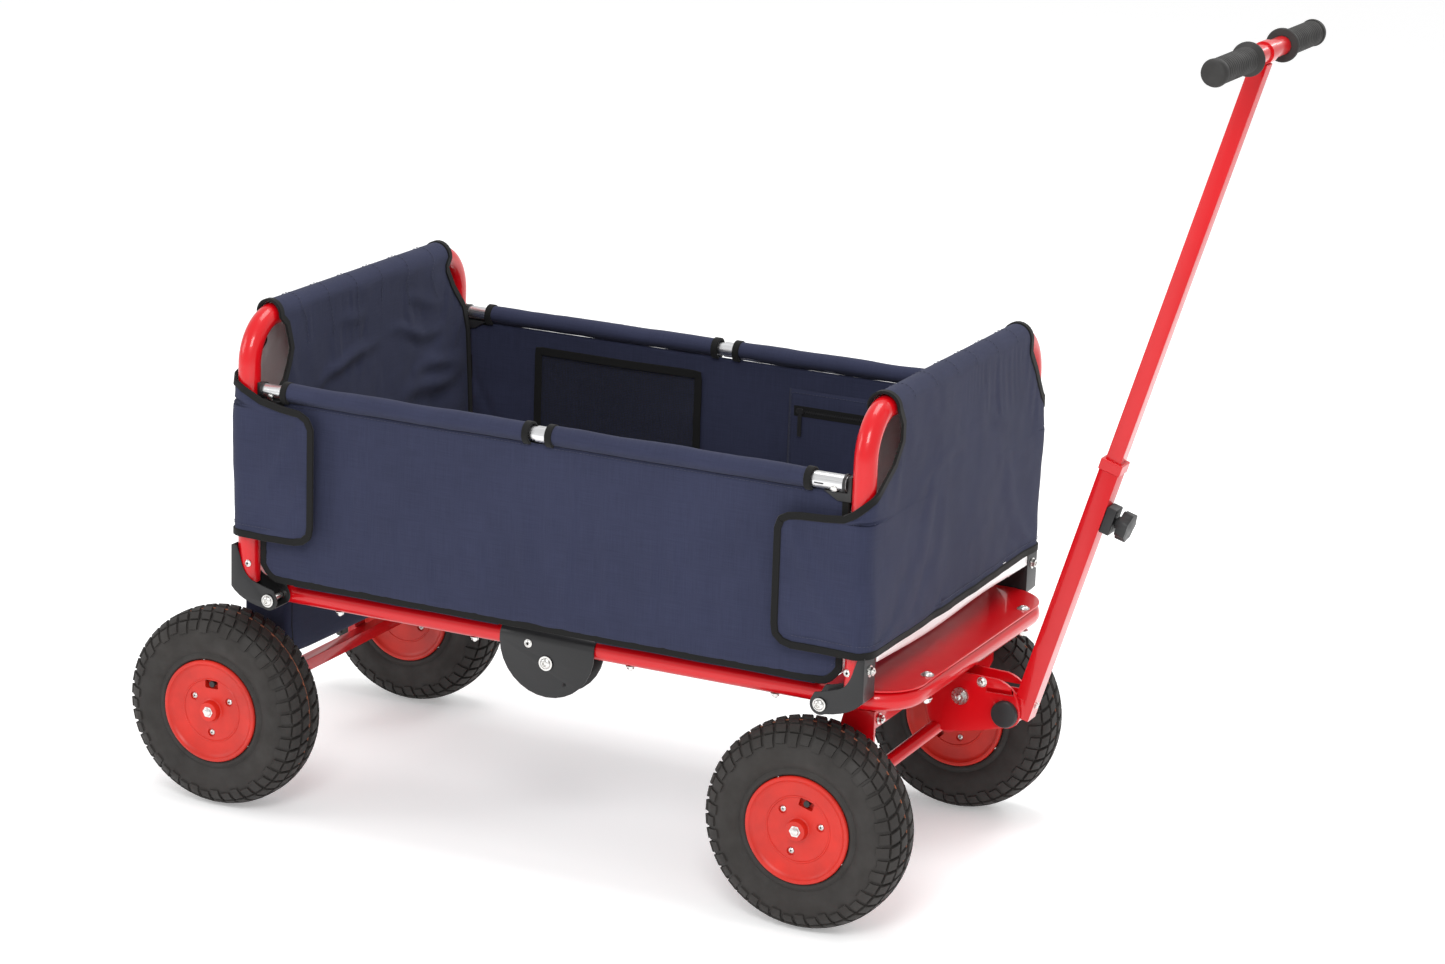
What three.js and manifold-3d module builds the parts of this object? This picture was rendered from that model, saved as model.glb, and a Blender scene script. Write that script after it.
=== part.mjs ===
// Folding pull wagon: two hinged tube frame halves, two upright hoops joined by telescoping
// side rods, a fabric body, four wheels, a steered front axle and a telescoping pull handle.
// Millimetres. X points forward to the handle, Y to the left, Z up; the tyres stand on Z = 0.
// X = 0 is the centre hinge until the last step moves the origin under the middle of the wagon.
import * as THREE from 'three';
import { mergeVertices } from 'three/addons/utils/BufferGeometryUtils.js';
import Module from 'manifold-3d';

const wasm = await Module();
wasm.setup();

// ---------------------------------------------------------------- driving dimensions
const GAP = 0.3;                 // clearance between pieces that touch
const FIT = 0.4;                 // clearance round a shaft or in a sliding fit

const TYRE_R = 130;              // outer radius of the tyre
const TYRE_W = 82;               // section width of the tyre
const TYRE_WALL = 9;
const RIM_R = 67;                // where the tyre seats on the rim
const RIM_W = 74;                // hub length and overall rim width
const HUB_R = 21;
const AXLE_R = 6;
const AXLE_Z = TYRE_R;
const TRACK = 484;               // between the wheel centre planes
const LEG_CLEARANCE = 11;        // from a tyre's side to the leg beside it
const LEG_Y = TRACK / 2 - TYRE_W / 2 - LEG_CLEARANCE;
const LEG_T = 5;                 // legs that carry the front axle
const BRACE_R = 9;               // tubes from the yoke's cheeks out to the axle
const AXLE_BAR = 17;             // square bar round the rear axle
const HANGER = { y0: 96, y1: 122, thick: 12 };

const RAIL_R = 12.5;             // side rail tube
const RAIL_WALL = 2;
const RAIL_Y = 228;              // centre line of the side rails
const RAIL_Z = 2 * TYRE_R + 30;
const FRAME_END_X = 462;         // centre line of the end cross tubes
const FRAME_CORNER_R = 50;
const REAR_AXLE_X = -FRAME_END_X - 2;
const PLATE_T = 2.2;             // deck plate

const HINGE_DROP = 24.5;         // centre hinge pin below the rail centre line
const HINGE_PIN_R = 4;
const SADDLE_LENGTH = 130;
const SADDLE_WALL = 2.5;
const SADDLE_DROP = 4;           // centre of its half discs below the rail centre line
const LUG_R = 11;

const HOOP_R = 14;
const HOOP_WALL = 2;
const HOOP_PIVOT_X = FRAME_END_X - 82;    // hoop pivots, either side of the centre hinge
const HOOP_X = HOOP_PIVOT_X + 38;         // centre line of the hoop legs
const HOOP_BEND_R = 56;
const CHEEK_IN_T = 1.5;          // inner and outer cheek of the corner brackets
const CHEEK_OUT_T = 1.9;
const BRACKET_FIT = 0.7;         // between a side rail and the bracket beside it
const BRACKET_T = 2 * (HOOP_R + GAP) + CHEEK_IN_T + CHEEK_OUT_T;
const HOOP_Y = RAIL_Y + RAIL_R + BRACKET_FIT + CHEEK_IN_T + GAP + HOOP_R;
const BRACKET_TOP_Z = RAIL_Z + 65;
const BRACKET_WALL = 2.5;        // folded edge of the corner brackets
const BRACKET_END_R = 13;
const PLATE_INNER_X = HOOP_PIVOT_X - 8;   // inner edge of the deck plates

const ROD_Z = RAIL_Z + 267;      // telescoping side rods
const ROD_Y = HOOP_Y;
const ROD_R = 10;                // front, outer tube
const ROD_WALL = 1.1;
const ROD_INSERT = 70;           // overlap of the two tubes past the middle
const ROD_END_X = HOOP_X - HOOP_R - 6;
const HOOP_TOP_Z = ROD_Z + 84;   // centre line of the hoop's top bar

const FLOOR_T = 5;
const FLOOR_W = 2 * RAIL_Y + 12;
const PANEL_T = 3;               // side panels, sewn fabric
const PANEL_BOTTOM_Z = RAIL_Z + 21;
const HOOD_T = 3;                // end hoods
const HOOD_BOTTOM_Z = BRACKET_TOP_Z + 2;
const HOOD_RIDGE_Y = HOOP_Y - 43;         // half length of the covered stretch of the top bar
const FLAP_TOP_Z = ROD_Z - 39;
const FLAP_REACH_X = HOOP_X - 104;        // how far the hood's side flaps reach along the panels
const FLAP_Y = HOOP_Y + HOOP_R + 3;
const BAG = {
  x0: -FRAME_END_X - RAIL_R + 0.5,
  x1: -FRAME_END_X + 58,
  halfWidth: LEG_Y - 6,
  z0: RAIL_Z - 110,
  z1: RAIL_Z - RAIL_R - 2.5,
  wall: 2.5,
};
const POCKET_T = 5;
const POCKET_Z0 = RAIL_Z + 40;
const POCKET_Z1 = ROD_Z - 37;
const MESH_POCKET = { x0: -290, x1: -46 };
const ZIP = { x0: 85, x1: 255, lineZ: ROD_Z - 66, seam: 12 };

const KINGPIN_X = FRAME_END_X - 62;
const KINGPIN_R = 8;
const FRONT_AXLE_X = KINGPIN_X - 41;
const BEAM_TOP_Z = RAIL_Z - RAIL_R - 15.5;
const BEAM_H = 22;
const BEAM_W = 30;

const HANDLE_PIVOT = { x: KINGPIN_X + 115, z: BEAM_TOP_Z - 34 };
const HANDLE_TILT = 73.6 * Math.PI / 180;
const HANDLE_OFFSET = 16;        // handle tube centre line ahead of its pivot
const LOWER_TUBE = 25;
const LOWER_WALL = 2;
const LOWER_LENGTH = 352;
const SLIDE_FIT = 0.5;           // each side between the two handle tubes
const UPPER_TUBE = LOWER_TUBE - 2 * (LOWER_WALL + SLIDE_FIT);
const UPPER_WALL = 1.6;
const UPPER_OVERLAP = 55;        // upper tube left inside the lower one when pulled out
const CROSSBAR_S = 876;          // crossbar from the pivot, along the handle
const CROSSBAR_R = 11;
const CROSSBAR_WALL = 1.8;
const GRIP_R = 15;
const GRIP_LENGTH = 124;
const HANDLE_HALF_WIDTH = 183;
const CLAMP_S = 281;
const KNOB_R = 18.5;
const PIVOT_CAP_R = 17;
const PIVOT_PIN_R = 5;
const YOKE_T = 4;
const YOKE_INNER_Y = LOWER_TUBE / 2 + 2;

// ---------------------------------------------------------------- materials
const material = (color, roughness, metalness) =>
  new THREE.MeshStandardMaterial({ color, roughness, metalness });
const redPaint = material(0xdf0014, 0.25, 0.1);
const redPlastic = material(0xd8260f, 0.45, 0);
const blackPaint = material(0x262829, 0.45, 0.2);
const blackRubber = material(0x22201e, 0.85, 0);
const tyreRubber = material(0x2d2a27, 0.9, 0);
const aluminium = material(0xd9dadb, 0.35, 0.9);
const steel = material(0xc9c9c9, 0.3, 1);
const navyFabric = material(0x3a3f55, 0.9, 0);
const meshFabric = material(0x1d1e20, 0.9, 0);

// ---------------------------------------------------------------- solid tools
function toSolid(geometry) {
  const bare = geometry.index ? geometry.toNonIndexed() : geometry.clone();
  bare.deleteAttribute('normal');
  bare.deleteAttribute('uv');
  const merged = mergeVertices(bare, 1e-4);
  const solid = new wasm.Manifold(new wasm.Mesh({
    numProp: 3,
    vertProperties: new Float32Array(merged.attributes.position.array),
    triVerts: new Uint32Array(merged.index.array),
  }));
  return solid;
}

function toGeometry(solid) {
  const data = solid.getMesh();
  const geometry = new THREE.BufferGeometry();
  geometry.setAttribute('position', new THREE.BufferAttribute(new Float32Array(data.vertProperties), 3));
  geometry.setIndex(new THREE.BufferAttribute(new Uint32Array(data.triVerts), 1));
  geometry.computeVertexNormals();
  return geometry;
}

const join = (...geometries) =>
  toGeometry(geometries.map(toSolid).reduce((whole, piece) => whole.add(piece)));
const cut = (geometry, ...tools) =>
  toGeometry(tools.map(toSolid).reduce((whole, tool) => whole.subtract(tool), toSolid(geometry)));
const common = (a, b) => toGeometry(toSolid(a).intersect(toSolid(b)));

// A box given by its lowest and highest corners.
function block(x0, x1, y0, y1, z0, z1) {
  return new THREE.BoxGeometry(x1 - x0, y1 - y0, z1 - z0)
    .translate((x0 + x1) / 2, (y0 + y1) / 2, (z0 + z1) / 2);
}

// A cylinder along one of the axes, from a to b.
function rodAlong(axis, radius, a, b, u, v, sides = 16) {
  const cylinder = new THREE.CylinderGeometry(radius, radius, b - a, sides);
  if (axis === 'x') return cylinder.rotateZ(-Math.PI / 2).translate((a + b) / 2, u, v);
  if (axis === 'y') return cylinder.translate(u, (a + b) / 2, v);
  return cylinder.rotateX(Math.PI / 2).translate(u, v, (a + b) / 2);
}

// A ring section swept along X, open at both ends.
function pipeAlongX(radius, wall, x0, x1, y, z, sides = 16) {
  const outer = rodAlong('x', radius, x0, x1, y, z, sides);
  const bore = rodAlong('x', radius - wall, x0 - 1, x1 + 1, y, z, sides);
  return cut(outer, bore);
}

// A flat shape drawn in X and Z, given thickness along Y from y0 to y1.
function plateXZ(shape, y0, y1, curveSegments = 8) {
  return new THREE.ExtrudeGeometry(shape, { depth: y1 - y0, bevelEnabled: false, curveSegments })
    .rotateX(Math.PI / 2).translate(0, y1, 0);
}

// A flat shape drawn in Y and Z, given thickness along X from x0 to x1.
function plateYZ(shape, x0, x1, curveSegments = 10) {
  return new THREE.ExtrudeGeometry(shape, { depth: x1 - x0, bevelEnabled: false, curveSegments })
    .applyMatrix4(new THREE.Matrix4().set(0, 0, 1, x0, 1, 0, 0, 0, 0, 1, 0, 0, 0, 0, 0, 1));
}

// A flat shape drawn in X and Y, given thickness along Z from z0 to z1.
function plateXY(shape, z0, z1, curveSegments = 10) {
  return new THREE.ExtrudeGeometry(shape, { depth: z1 - z0, bevelEnabled: false, curveSegments })
    .translate(0, 0, z0);
}

// A profile of [radius, y] points turned about a line along Y.
function turned(profile, segments) {
  return new THREE.LatheGeometry(profile.map(([r, y]) => new THREE.Vector2(r, y)), segments);
}

// A tube path whose stations lie only where they are needed.
class StationPath extends THREE.Curve {
  constructor(points) {
    super();
    this.points = points;
  }
  getPoint(t, target = new THREE.Vector3()) {
    const last = this.points.length - 1;
    const i = Math.min(Math.floor(t * last), last - 1);
    return target.lerpVectors(this.points[i], this.points[i + 1], t * last - i);
  }
  getPointAt(u, target) {
    return this.getPoint(u, target);
  }
  getTangentAt(u, target = new THREE.Vector3()) {
    const last = this.points.length - 1;
    const i = Math.round(u * last);
    const here = this.points[i];
    const before = here.clone().sub(this.points[Math.max(i - 1, 0)]).normalize();
    const after = this.points[Math.min(i + 1, last)].clone().sub(here).normalize();
    return target.addVectors(before, after).normalize();
  }
}

// Stations of a U: two straight legs, two quarter bends and a straight cross piece.
// place(along, across) puts a point of the flat U into space; the U opens at along = 0.
function uStations(length, halfWidth, bendRadius, place, bendSteps = 5) {
  const side = [[0, halfWidth]];
  for (let i = 0; i <= bendSteps; i += 1) {
    const angle = (i / bendSteps) * Math.PI / 2;
    side.push([
      length - bendRadius + bendRadius * Math.sin(angle),
      halfWidth - bendRadius + bendRadius * Math.cos(angle),
    ]);
  }
  const other = side.map(([along, across]) => [along, -across]).reverse();
  return [...side, ...other].map(([along, across]) => place(along, across));
}

function bentTube(stations, radius, wall, sides = 12) {
  const section = new THREE.Shape().absarc(0, 0, radius, 0, Math.PI * 2);
  if (wall) section.holes.push(new THREE.Path().absarc(0, 0, radius - wall, 0, Math.PI * 2, true));
  return new THREE.ExtrudeGeometry(section, {
    steps: stations.length - 1,
    curveSegments: sides / 2,
    extrudePath: new StationPath(stations),
  });
}

const wagon = new THREE.Group();
function add(name, geometry, look) {
  const mesh = new THREE.Mesh(geometry, look);
  mesh.name = name;
  wagon.add(mesh);
  return mesh;
}
const SIDES = [['left', 1], ['right', -1]];
const ENDS = [['rear', -1], ['front', 1]];
const mirrorX = (geometry) => toGeometry(toSolid(geometry).mirror([1, 0, 0]));
const mirrorY = (geometry) => toGeometry(toSolid(geometry).mirror([0, 1, 0]));
const atEnd = (geometry, end) => (end > 0 ? geometry : mirrorX(geometry));
const atSide = (geometry, side) => (side > 0 ? geometry : mirrorY(geometry));

// ---------------------------------------------------------------- frame halves
const HINGE_Z = RAIL_Z - HINGE_DROP;
const RAIL_TOP = RAIL_Z + RAIL_R;
const REAR_RAIL_START = LUG_R + 3;
const FRONT_RAIL_START = 2;

// Tools that clear the rail wall for the hoop pivot bolts.
const pivotHoles = (end) => SIDES.map(([, side]) =>
  rodAlong('y', HINGE_PIN_R + FIT, side * RAIL_Y - 20, side * RAIL_Y + 20, end * HOOP_PIVOT_X, RAIL_Z));

// Lug welded under each front rail. It turns on the hinge pin between the saddle's cheeks.
function hingeLug() {
  const reach = 48;
  const halfThick = RAIL_R - 1;
  const weld = RAIL_R - RAIL_WALL / 2;
  const round = rodAlong('y', LUG_R, RAIL_Y - halfThick, RAIL_Y + halfThick, 0, HINGE_Z);
  const arm = block(0, reach, RAIL_Y - halfThick, RAIL_Y + halfThick, HINGE_Z - LUG_R, RAIL_Z);
  const railBore = rodAlong('x', weld, -LUG_R, reach + 5, RAIL_Y, RAIL_Z, 16);
  const above = block(-LUG_R - 1, reach + 5, RAIL_Y - 20, RAIL_Y + 20, RAIL_Z - 6, RAIL_Z + 20);
  const pinHole = rodAlong('y', HINGE_PIN_R + GAP, RAIL_Y - 30, RAIL_Y + 30, 0, HINGE_Z);
  return cut(join(round, arm), railBore, above, pinHole);
}

function frameTube(end) {
  const start = end > 0 ? FRONT_RAIL_START : REAR_RAIL_START;
  const stations = uStations(FRAME_END_X, RAIL_Y, FRAME_CORNER_R,
    (along, across) => new THREE.Vector3(end * Math.max(along, start), across, RAIL_Z));
  const tube = cut(bentTube(stations, RAIL_R, RAIL_WALL), ...pivotHoles(end));
  return end < 0 ? tube : join(tube, ...SIDES.map(([, side]) => atSide(hingeLug(), side)));
}

function roundedEndOutline(x0, x1, halfWidth, radius) {
  const shape = new THREE.Shape();
  shape.moveTo(x0, -halfWidth);
  shape.lineTo(x1 - radius, -halfWidth);
  shape.absarc(x1 - radius, -halfWidth + radius, radius, -Math.PI / 2, 0);
  shape.absarc(x1 - radius, halfWidth - radius, radius, 0, Math.PI / 2);
  shape.lineTo(x0, halfWidth);
  shape.closePath();
  return shape;
}

// Sheet plate lying on the end of a frame half, with its inner edge turned down.
function deckPlate(end) {
  const bottom = RAIL_TOP + GAP;
  const outline = roundedEndOutline(PLATE_INNER_X, FRAME_END_X + RAIL_R, RAIL_Y + RAIL_R,
    FRAME_CORNER_R + RAIL_R);
  const sheet = plateXY(outline, bottom, bottom + PLATE_T);
  const lip = block(PLATE_INNER_X, PLATE_INNER_X + PLATE_T,
    -RAIL_Y + RAIL_R + 12, RAIL_Y - RAIL_R - 12, bottom - 12, bottom + PLATE_T);
  return atEnd(join(sheet, lip), end);
}

function floorBoard(end) {
  const bottom = RAIL_TOP + GAP;
  const inner = SADDLE_LENGTH / 2 + 2;
  const outline = new THREE.Shape();
  outline.moveTo(1, -RAIL_Y + 22);
  outline.lineTo(inner, -RAIL_Y + 22);
  outline.lineTo(inner, -FLOOR_W / 2);
  outline.lineTo(PLATE_INNER_X - 1, -FLOOR_W / 2);
  outline.lineTo(PLATE_INNER_X - 1, FLOOR_W / 2);
  outline.lineTo(inner, FLOOR_W / 2);
  outline.lineTo(inner, RAIL_Y - 22);
  outline.lineTo(1, RAIL_Y - 22);
  outline.closePath();
  return atEnd(plateXY(outline, bottom, bottom + FLOOR_T), end);
}

for (const [name, end] of ENDS) {
  add(`${name}_frame_tube`, frameTube(end), redPaint);
  add(`${name}_deck_plate`, deckPlate(end), redPaint);
  add(`${name}_floor`, floorBoard(end), navyFabric);
}

// ---------------------------------------------------------------- centre hinge
const SADDLE_IN = RAIL_R + FIT;
const SADDLE_OUT = SADDLE_IN + SADDLE_WALL;

// Inverted U over the rail ends, with a half disc on each cheek. It is fixed to the rear rail.
function hingeSaddle() {
  const half = SADDLE_LENGTH / 2;
  const side = new THREE.Shape();
  side.moveTo(-half, RAIL_Z + SADDLE_OUT);
  side.lineTo(-half, RAIL_Z - SADDLE_DROP);
  side.absarc(0, RAIL_Z - SADDLE_DROP, half, Math.PI, Math.PI * 2);
  side.lineTo(half, RAIL_Z + SADDLE_OUT);
  side.closePath();
  const wrap = new THREE.Shape();
  const foot = RAIL_Z - SADDLE_DROP - half - 5;
  wrap.moveTo(RAIL_Y + SADDLE_OUT, foot);
  wrap.absarc(RAIL_Y, RAIL_Z, SADDLE_OUT, 0, Math.PI);
  wrap.lineTo(RAIL_Y - SADDLE_OUT, foot);
  wrap.lineTo(RAIL_Y - SADDLE_IN, foot);
  wrap.absarc(RAIL_Y, RAIL_Z, SADDLE_IN, Math.PI, 0, true);
  wrap.lineTo(RAIL_Y + SADDLE_IN, foot);
  wrap.closePath();
  const body = common(plateXZ(side, RAIL_Y - 30, RAIL_Y + 30), plateYZ(wrap, -half - 5, half + 5, 6));
  const pinHole = rodAlong('y', HINGE_PIN_R + GAP, RAIL_Y - 30, RAIL_Y + 30, 0, HINGE_Z);
  const stopHole = rodAlong('y', 2.6, RAIL_Y - 30, RAIL_Y + 30, 25, HINGE_Z - 24, 10);
  return cut(body, pinHole, stopHole);
}

function hingeBolt() {
  const inner = RAIL_Y - SADDLE_OUT - GAP;
  const outer = RAIL_Y + SADDLE_OUT + GAP;
  return turned([
    [0, inner - 3.2], [7, inner - 3.2], [7, inner], [HINGE_PIN_R, inner], [HINGE_PIN_R, outer],
    [8.5, outer], [8.5, outer + 1.4], [4.5, outer + 3], [0, outer + 3],
  ], 16).translate(0, 0, HINGE_Z);
}

for (const [name, side] of SIDES) {
  add(`hinge_saddle_${name}`, atSide(hingeSaddle(), side), blackPaint);
  add(`hinge_bolt_${name}`, atSide(hingeBolt(), side), steel);
}

// ---------------------------------------------------------------- hoops and their brackets
const BRACKET_IN = RAIL_Y + RAIL_R + BRACKET_FIT;
const BRACKET_OUT = BRACKET_IN + BRACKET_T;
const LEG_FOOT_Z = RAIL_TOP + 7;

function hoop(end) {
  const stations = uStations(HOOP_TOP_Z - LEG_FOOT_Z, HOOP_Y, HOOP_BEND_R,
    (along, across) => new THREE.Vector3(end * HOOP_X, across, LEG_FOOT_Z + along));
  return bentTube(stations, HOOP_R, HOOP_WALL);
}

// Cranked channel: its folded edge faces the wagon's end, its two cheeks lie either side of
// the hoop leg and narrow upwards, and it turns about a pivot on the side rail.
function hoopBracket() {
  const edge = HOOP_X + HOOP_R + GAP + BRACKET_WALL;
  const px = HOOP_PIVOT_X;
  const pz = RAIL_Z;
  const r = BRACKET_END_R;
  const lower = THREE.MathUtils.degToRad(-60);
  const upper = THREE.MathUtils.degToRad(150);
  const side = new THREE.Shape();
  side.moveTo(edge, BRACKET_TOP_Z);
  side.lineTo(edge - 8, BRACKET_TOP_Z);
  side.lineTo(edge - 13, BRACKET_TOP_Z - 14);
  side.quadraticCurveTo(edge - 18, pz + 29, edge - 30, pz + 23);
  side.quadraticCurveTo(edge - 44, pz + 18, px + r * Math.cos(upper) + 4, pz + r + 1);
  side.lineTo(px + r * Math.cos(upper), pz + r * Math.sin(upper));
  side.absarc(px, pz, r, upper, lower + Math.PI * 2);
  side.quadraticCurveTo(edge - 14, pz - 7, edge, pz + 11);
  side.closePath();
  const body = plateXZ(side, BRACKET_IN, BRACKET_OUT, 6);
  const inside = plateXZ(side, HOOP_Y - HOOP_R - GAP, HOOP_Y + HOOP_R + GAP, 6)
    .translate(-BRACKET_WALL, 0, BRACKET_WALL);
  const pinHole = rodAlong('y', HINGE_PIN_R + GAP, BRACKET_IN - 5, BRACKET_OUT + 5, px, pz);
  return cut(body, inside, pinHole);
}

function hoopBolt() {
  const inner = RAIL_Y - RAIL_R - GAP;
  const outer = BRACKET_OUT + GAP;
  return turned([
    [0, inner - 4], [7, inner - 4], [7, inner], [HINGE_PIN_R, inner], [HINGE_PIN_R, outer],
    [7.5, outer], [7.5, outer + 1.5], [4, outer + 3.6], [0, outer + 3.6],
  ], 16).translate(HOOP_PIVOT_X, 0, RAIL_Z);
}

for (const [endName, end] of ENDS) {
  add(`${endName}_hoop`, hoop(end), redPaint);
  for (const [sideName, side] of SIDES) {
    add(`${endName}_hoop_bracket_${sideName}`, atSide(atEnd(hoopBracket(), end), side), blackPaint);
    add(`${endName}_hoop_bolt_${sideName}`, atSide(atEnd(hoopBolt(), end), side), steel);
  }
}

// ---------------------------------------------------------------- telescoping side rods
const ROD_BORE = ROD_R - ROD_WALL;
const INNER_ROD_R = ROD_BORE - FIT;

// Stirrup between a rod's end and the hoop leg.
function rodClevis() {
  const x1 = HOOP_X - HOOP_R - GAP;
  const x0 = ROD_END_X + GAP;
  const top = ROD_Z + ROD_R - 1;
  const low = ROD_Z - ROD_R - 11;
  const shelf = ROD_Z - ROD_R - GAP;
  const side = new THREE.Shape();
  side.moveTo(x1, top);
  side.lineTo(x0, top);
  side.lineTo(x0, shelf);
  side.lineTo(x0 - 30, shelf);
  side.lineTo(x0 - 12, low);
  side.lineTo(x1, low);
  side.closePath();
  return plateXZ(side, ROD_Y - 5, ROD_Y + 5);
}

for (const [sideName, side] of SIDES) {
  const y = side * ROD_Y;
  add(`rear_rod_${sideName}`,
    pipeAlongX(INNER_ROD_R, ROD_WALL, -ROD_END_X, ROD_INSERT - 10, y, ROD_Z), aluminium);
  add(`front_rod_${sideName}`, pipeAlongX(ROD_R, ROD_WALL, -10, ROD_END_X, y, ROD_Z), aluminium);
  add(`rear_rod_clevis_${sideName}`, atSide(atEnd(rodClevis(), -1), side), blackPaint);
  add(`front_rod_clevis_${sideName}`, atSide(rodClevis(), side), blackPaint);
}

// ---------------------------------------------------------------- fabric body
// Hood over a hoop: an outer panel that wraps the legs with side flaps, a sleeve over the
// top bar and a short inner panel, all one sheet.
function hood() {
  const sleeveIn = HOOP_R + 0.8;
  const sleeveOut = sleeveIn + HOOD_T;
  const outerX = HOOP_X + sleeveIn;
  const panel = new THREE.Shape();
  const low = HOOD_BOTTOM_Z;
  panel.moveTo(-FLAP_Y, low);
  panel.lineTo(FLAP_Y, low);
  panel.lineTo(FLAP_Y, FLAP_TOP_Z);
  panel.quadraticCurveTo(HOOD_RIDGE_Y + 6, HOOP_TOP_Z - 70, HOOD_RIDGE_Y, HOOP_TOP_Z);
  panel.lineTo(-HOOD_RIDGE_Y, HOOP_TOP_Z);
  panel.quadraticCurveTo(-HOOD_RIDGE_Y - 6, HOOP_TOP_Z - 70, -FLAP_Y, FLAP_TOP_Z);
  panel.closePath();
  const outer = plateYZ(panel, outerX, outerX + HOOD_T, 5);
  const flaps = SIDES.map(([, side]) => {
    const y0 = side > 0 ? FLAP_Y : -FLAP_Y - HOOD_T;
    return block(FLAP_REACH_X, outerX + HOOD_T, y0, y0 + HOOD_T, low, FLAP_TOP_Z);
  });
  const wrap = new THREE.Shape();
  wrap.absarc(HOOP_X, HOOP_TOP_Z, sleeveOut, 0, Math.PI);
  wrap.lineTo(HOOP_X - sleeveOut, HOOP_TOP_Z - 170);
  wrap.lineTo(HOOP_X - sleeveIn, HOOP_TOP_Z - 170);
  wrap.absarc(HOOP_X, HOOP_TOP_Z, sleeveIn, Math.PI, 0, true);
  wrap.closePath();
  return join(outer, ...flaps, plateXZ(wrap, -HOOD_RIDGE_Y, HOOD_RIDGE_Y, 8));
}

// Half of a side panel, hanging below its rod. The front half lies outside the rear half and
// slides past it as the wagon folds; each has a notch where the two rods join.
const PANEL_FACE_Y = ROD_Y - PANEL_T / 2;
function sidePanel(end) {
  const half = HOOP_X - HOOP_R - 6;
  const top = ROD_Z - ROD_R - 13;
  const notch = 24;
  const cornerX = HOOP_PIVOT_X - 14;
  const cornerZ = BRACKET_TOP_Z - 12;
  const side = new THREE.Shape();
  side.moveTo(1, PANEL_BOTTOM_Z);
  side.lineTo(cornerX, PANEL_BOTTOM_Z);
  side.lineTo(half, cornerZ);
  side.lineTo(half, top);
  side.lineTo(notch, top);
  side.lineTo(notch, top - 10);
  side.lineTo(1, top - 10);
  side.closePath();
  const y0 = PANEL_FACE_Y + (end > 0 ? PANEL_T + GAP : 0);
  return atEnd(plateXZ(side, y0, y0 + PANEL_T), end);
}

function rearBag() {
  const { x0, x1, halfWidth, z0, z1, wall } = BAG;
  return cut(block(x0, x1, -halfWidth, halfWidth, z0, z1),
    block(x0 + wall, x1 - wall, -halfWidth + wall, halfWidth - wall, z0 + wall, z1 + 5));
}

for (const [name, end] of ENDS) add(`${name}_hood`, atEnd(hood(), end), navyFabric);
for (const [endName, end] of ENDS) {
  for (const [sideName, side] of SIDES) {
    add(`side_panel_${endName}_${sideName}`, atSide(sidePanel(end), side), navyFabric);
  }
}
add('rear_bag', rearBag(), navyFabric);

// Pockets inside the left panel: an open mesh one at the rear, a zipped one at the front.
const POCKET_Y1 = PANEL_FACE_Y - GAP;
add('mesh_pocket', block(MESH_POCKET.x0, MESH_POCKET.x1, POCKET_Y1 - POCKET_T, POCKET_Y1,
  POCKET_Z0, POCKET_Z1), meshFabric);

function zipPocket() {
  const { x0, x1, seam } = ZIP;
  const pouch = block(x0, x1, POCKET_Y1 - POCKET_T, POCKET_Y1, POCKET_Z0, POCKET_Z1);
  const sewnEdge = block(x1 - seam, x1, POCKET_Y1 - POCKET_T, PANEL_FACE_Y + PANEL_T,
    POCKET_Z0, POCKET_Z1);
  return join(pouch, sewnEdge);
}
add('zip_pocket', zipPocket(), navyFabric);
function zipSlider() {
  const y1 = POCKET_Y1 - POCKET_T - GAP;
  const body = block(ZIP.x0 + 14, ZIP.x0 + 24, y1 - 2.6, y1, ZIP.lineZ - 4, ZIP.lineZ + 4);
  const pull = block(ZIP.x0 + 16.5, ZIP.x0 + 21.5, y1 - 2, y1 - 0.6, ZIP.lineZ - 34, ZIP.lineZ - 3);
  return join(body, pull);
}
add('zip_slider', zipSlider(), steel);

// ---------------------------------------------------------------- rear axle
// Square bar round the axle, hung from the frame's end tube by two arms behind the bag.
function rearAxleBeam() {
  const half = AXLE_BAR / 2;
  const end = LEG_Y + 2;
  const x = REAR_AXLE_X;
  const bar = block(x - half, x + half, -end, end, AXLE_Z - half, AXLE_Z + half);
  const front = -FRAME_END_X - RAIL_R - GAP;
  const arms = SIDES.map(([, side]) => {
    const { y0, y1, thick } = HANGER;
    const arm = block(front - thick, front, y0, y1, AXLE_Z - half, RAIL_Z);
    const foot = block(front - thick, x, y0, y1, AXLE_Z - half, AXLE_Z + half);
    return atSide(join(arm, foot), side);
  });
  return cut(join(bar, ...arms), rodAlong('y', AXLE_R + FIT, -end - 5, end + 5, x, AXLE_Z));
}

// Axle shaft with a dome nut outside each hub.
function axleShaft(x) {
  const hubEnd = TRACK / 2 + RIM_W / 2 + GAP;
  return turned([
    [0, -hubEnd - 6], [5, -hubEnd - 6], [9, -hubEnd - 3.5], [9, -hubEnd], [AXLE_R, -hubEnd],
    [AXLE_R, hubEnd], [9, hubEnd], [9, hubEnd + 3.5], [5, hubEnd + 6], [0, hubEnd + 6],
  ], 16).translate(x, 0, AXLE_Z);
}

add('rear_axle_beam', rearAxleBeam(), redPaint);
add('rear_axle', axleShaft(REAR_AXLE_X), steel);
add('front_axle', axleShaft(FRONT_AXLE_X), steel);

// ---------------------------------------------------------------- steering
const HOUSING_R = 20;
const KINGPIN_HEAD_R = 14;
const KINGPIN_HEAD_H = 8;
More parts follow.
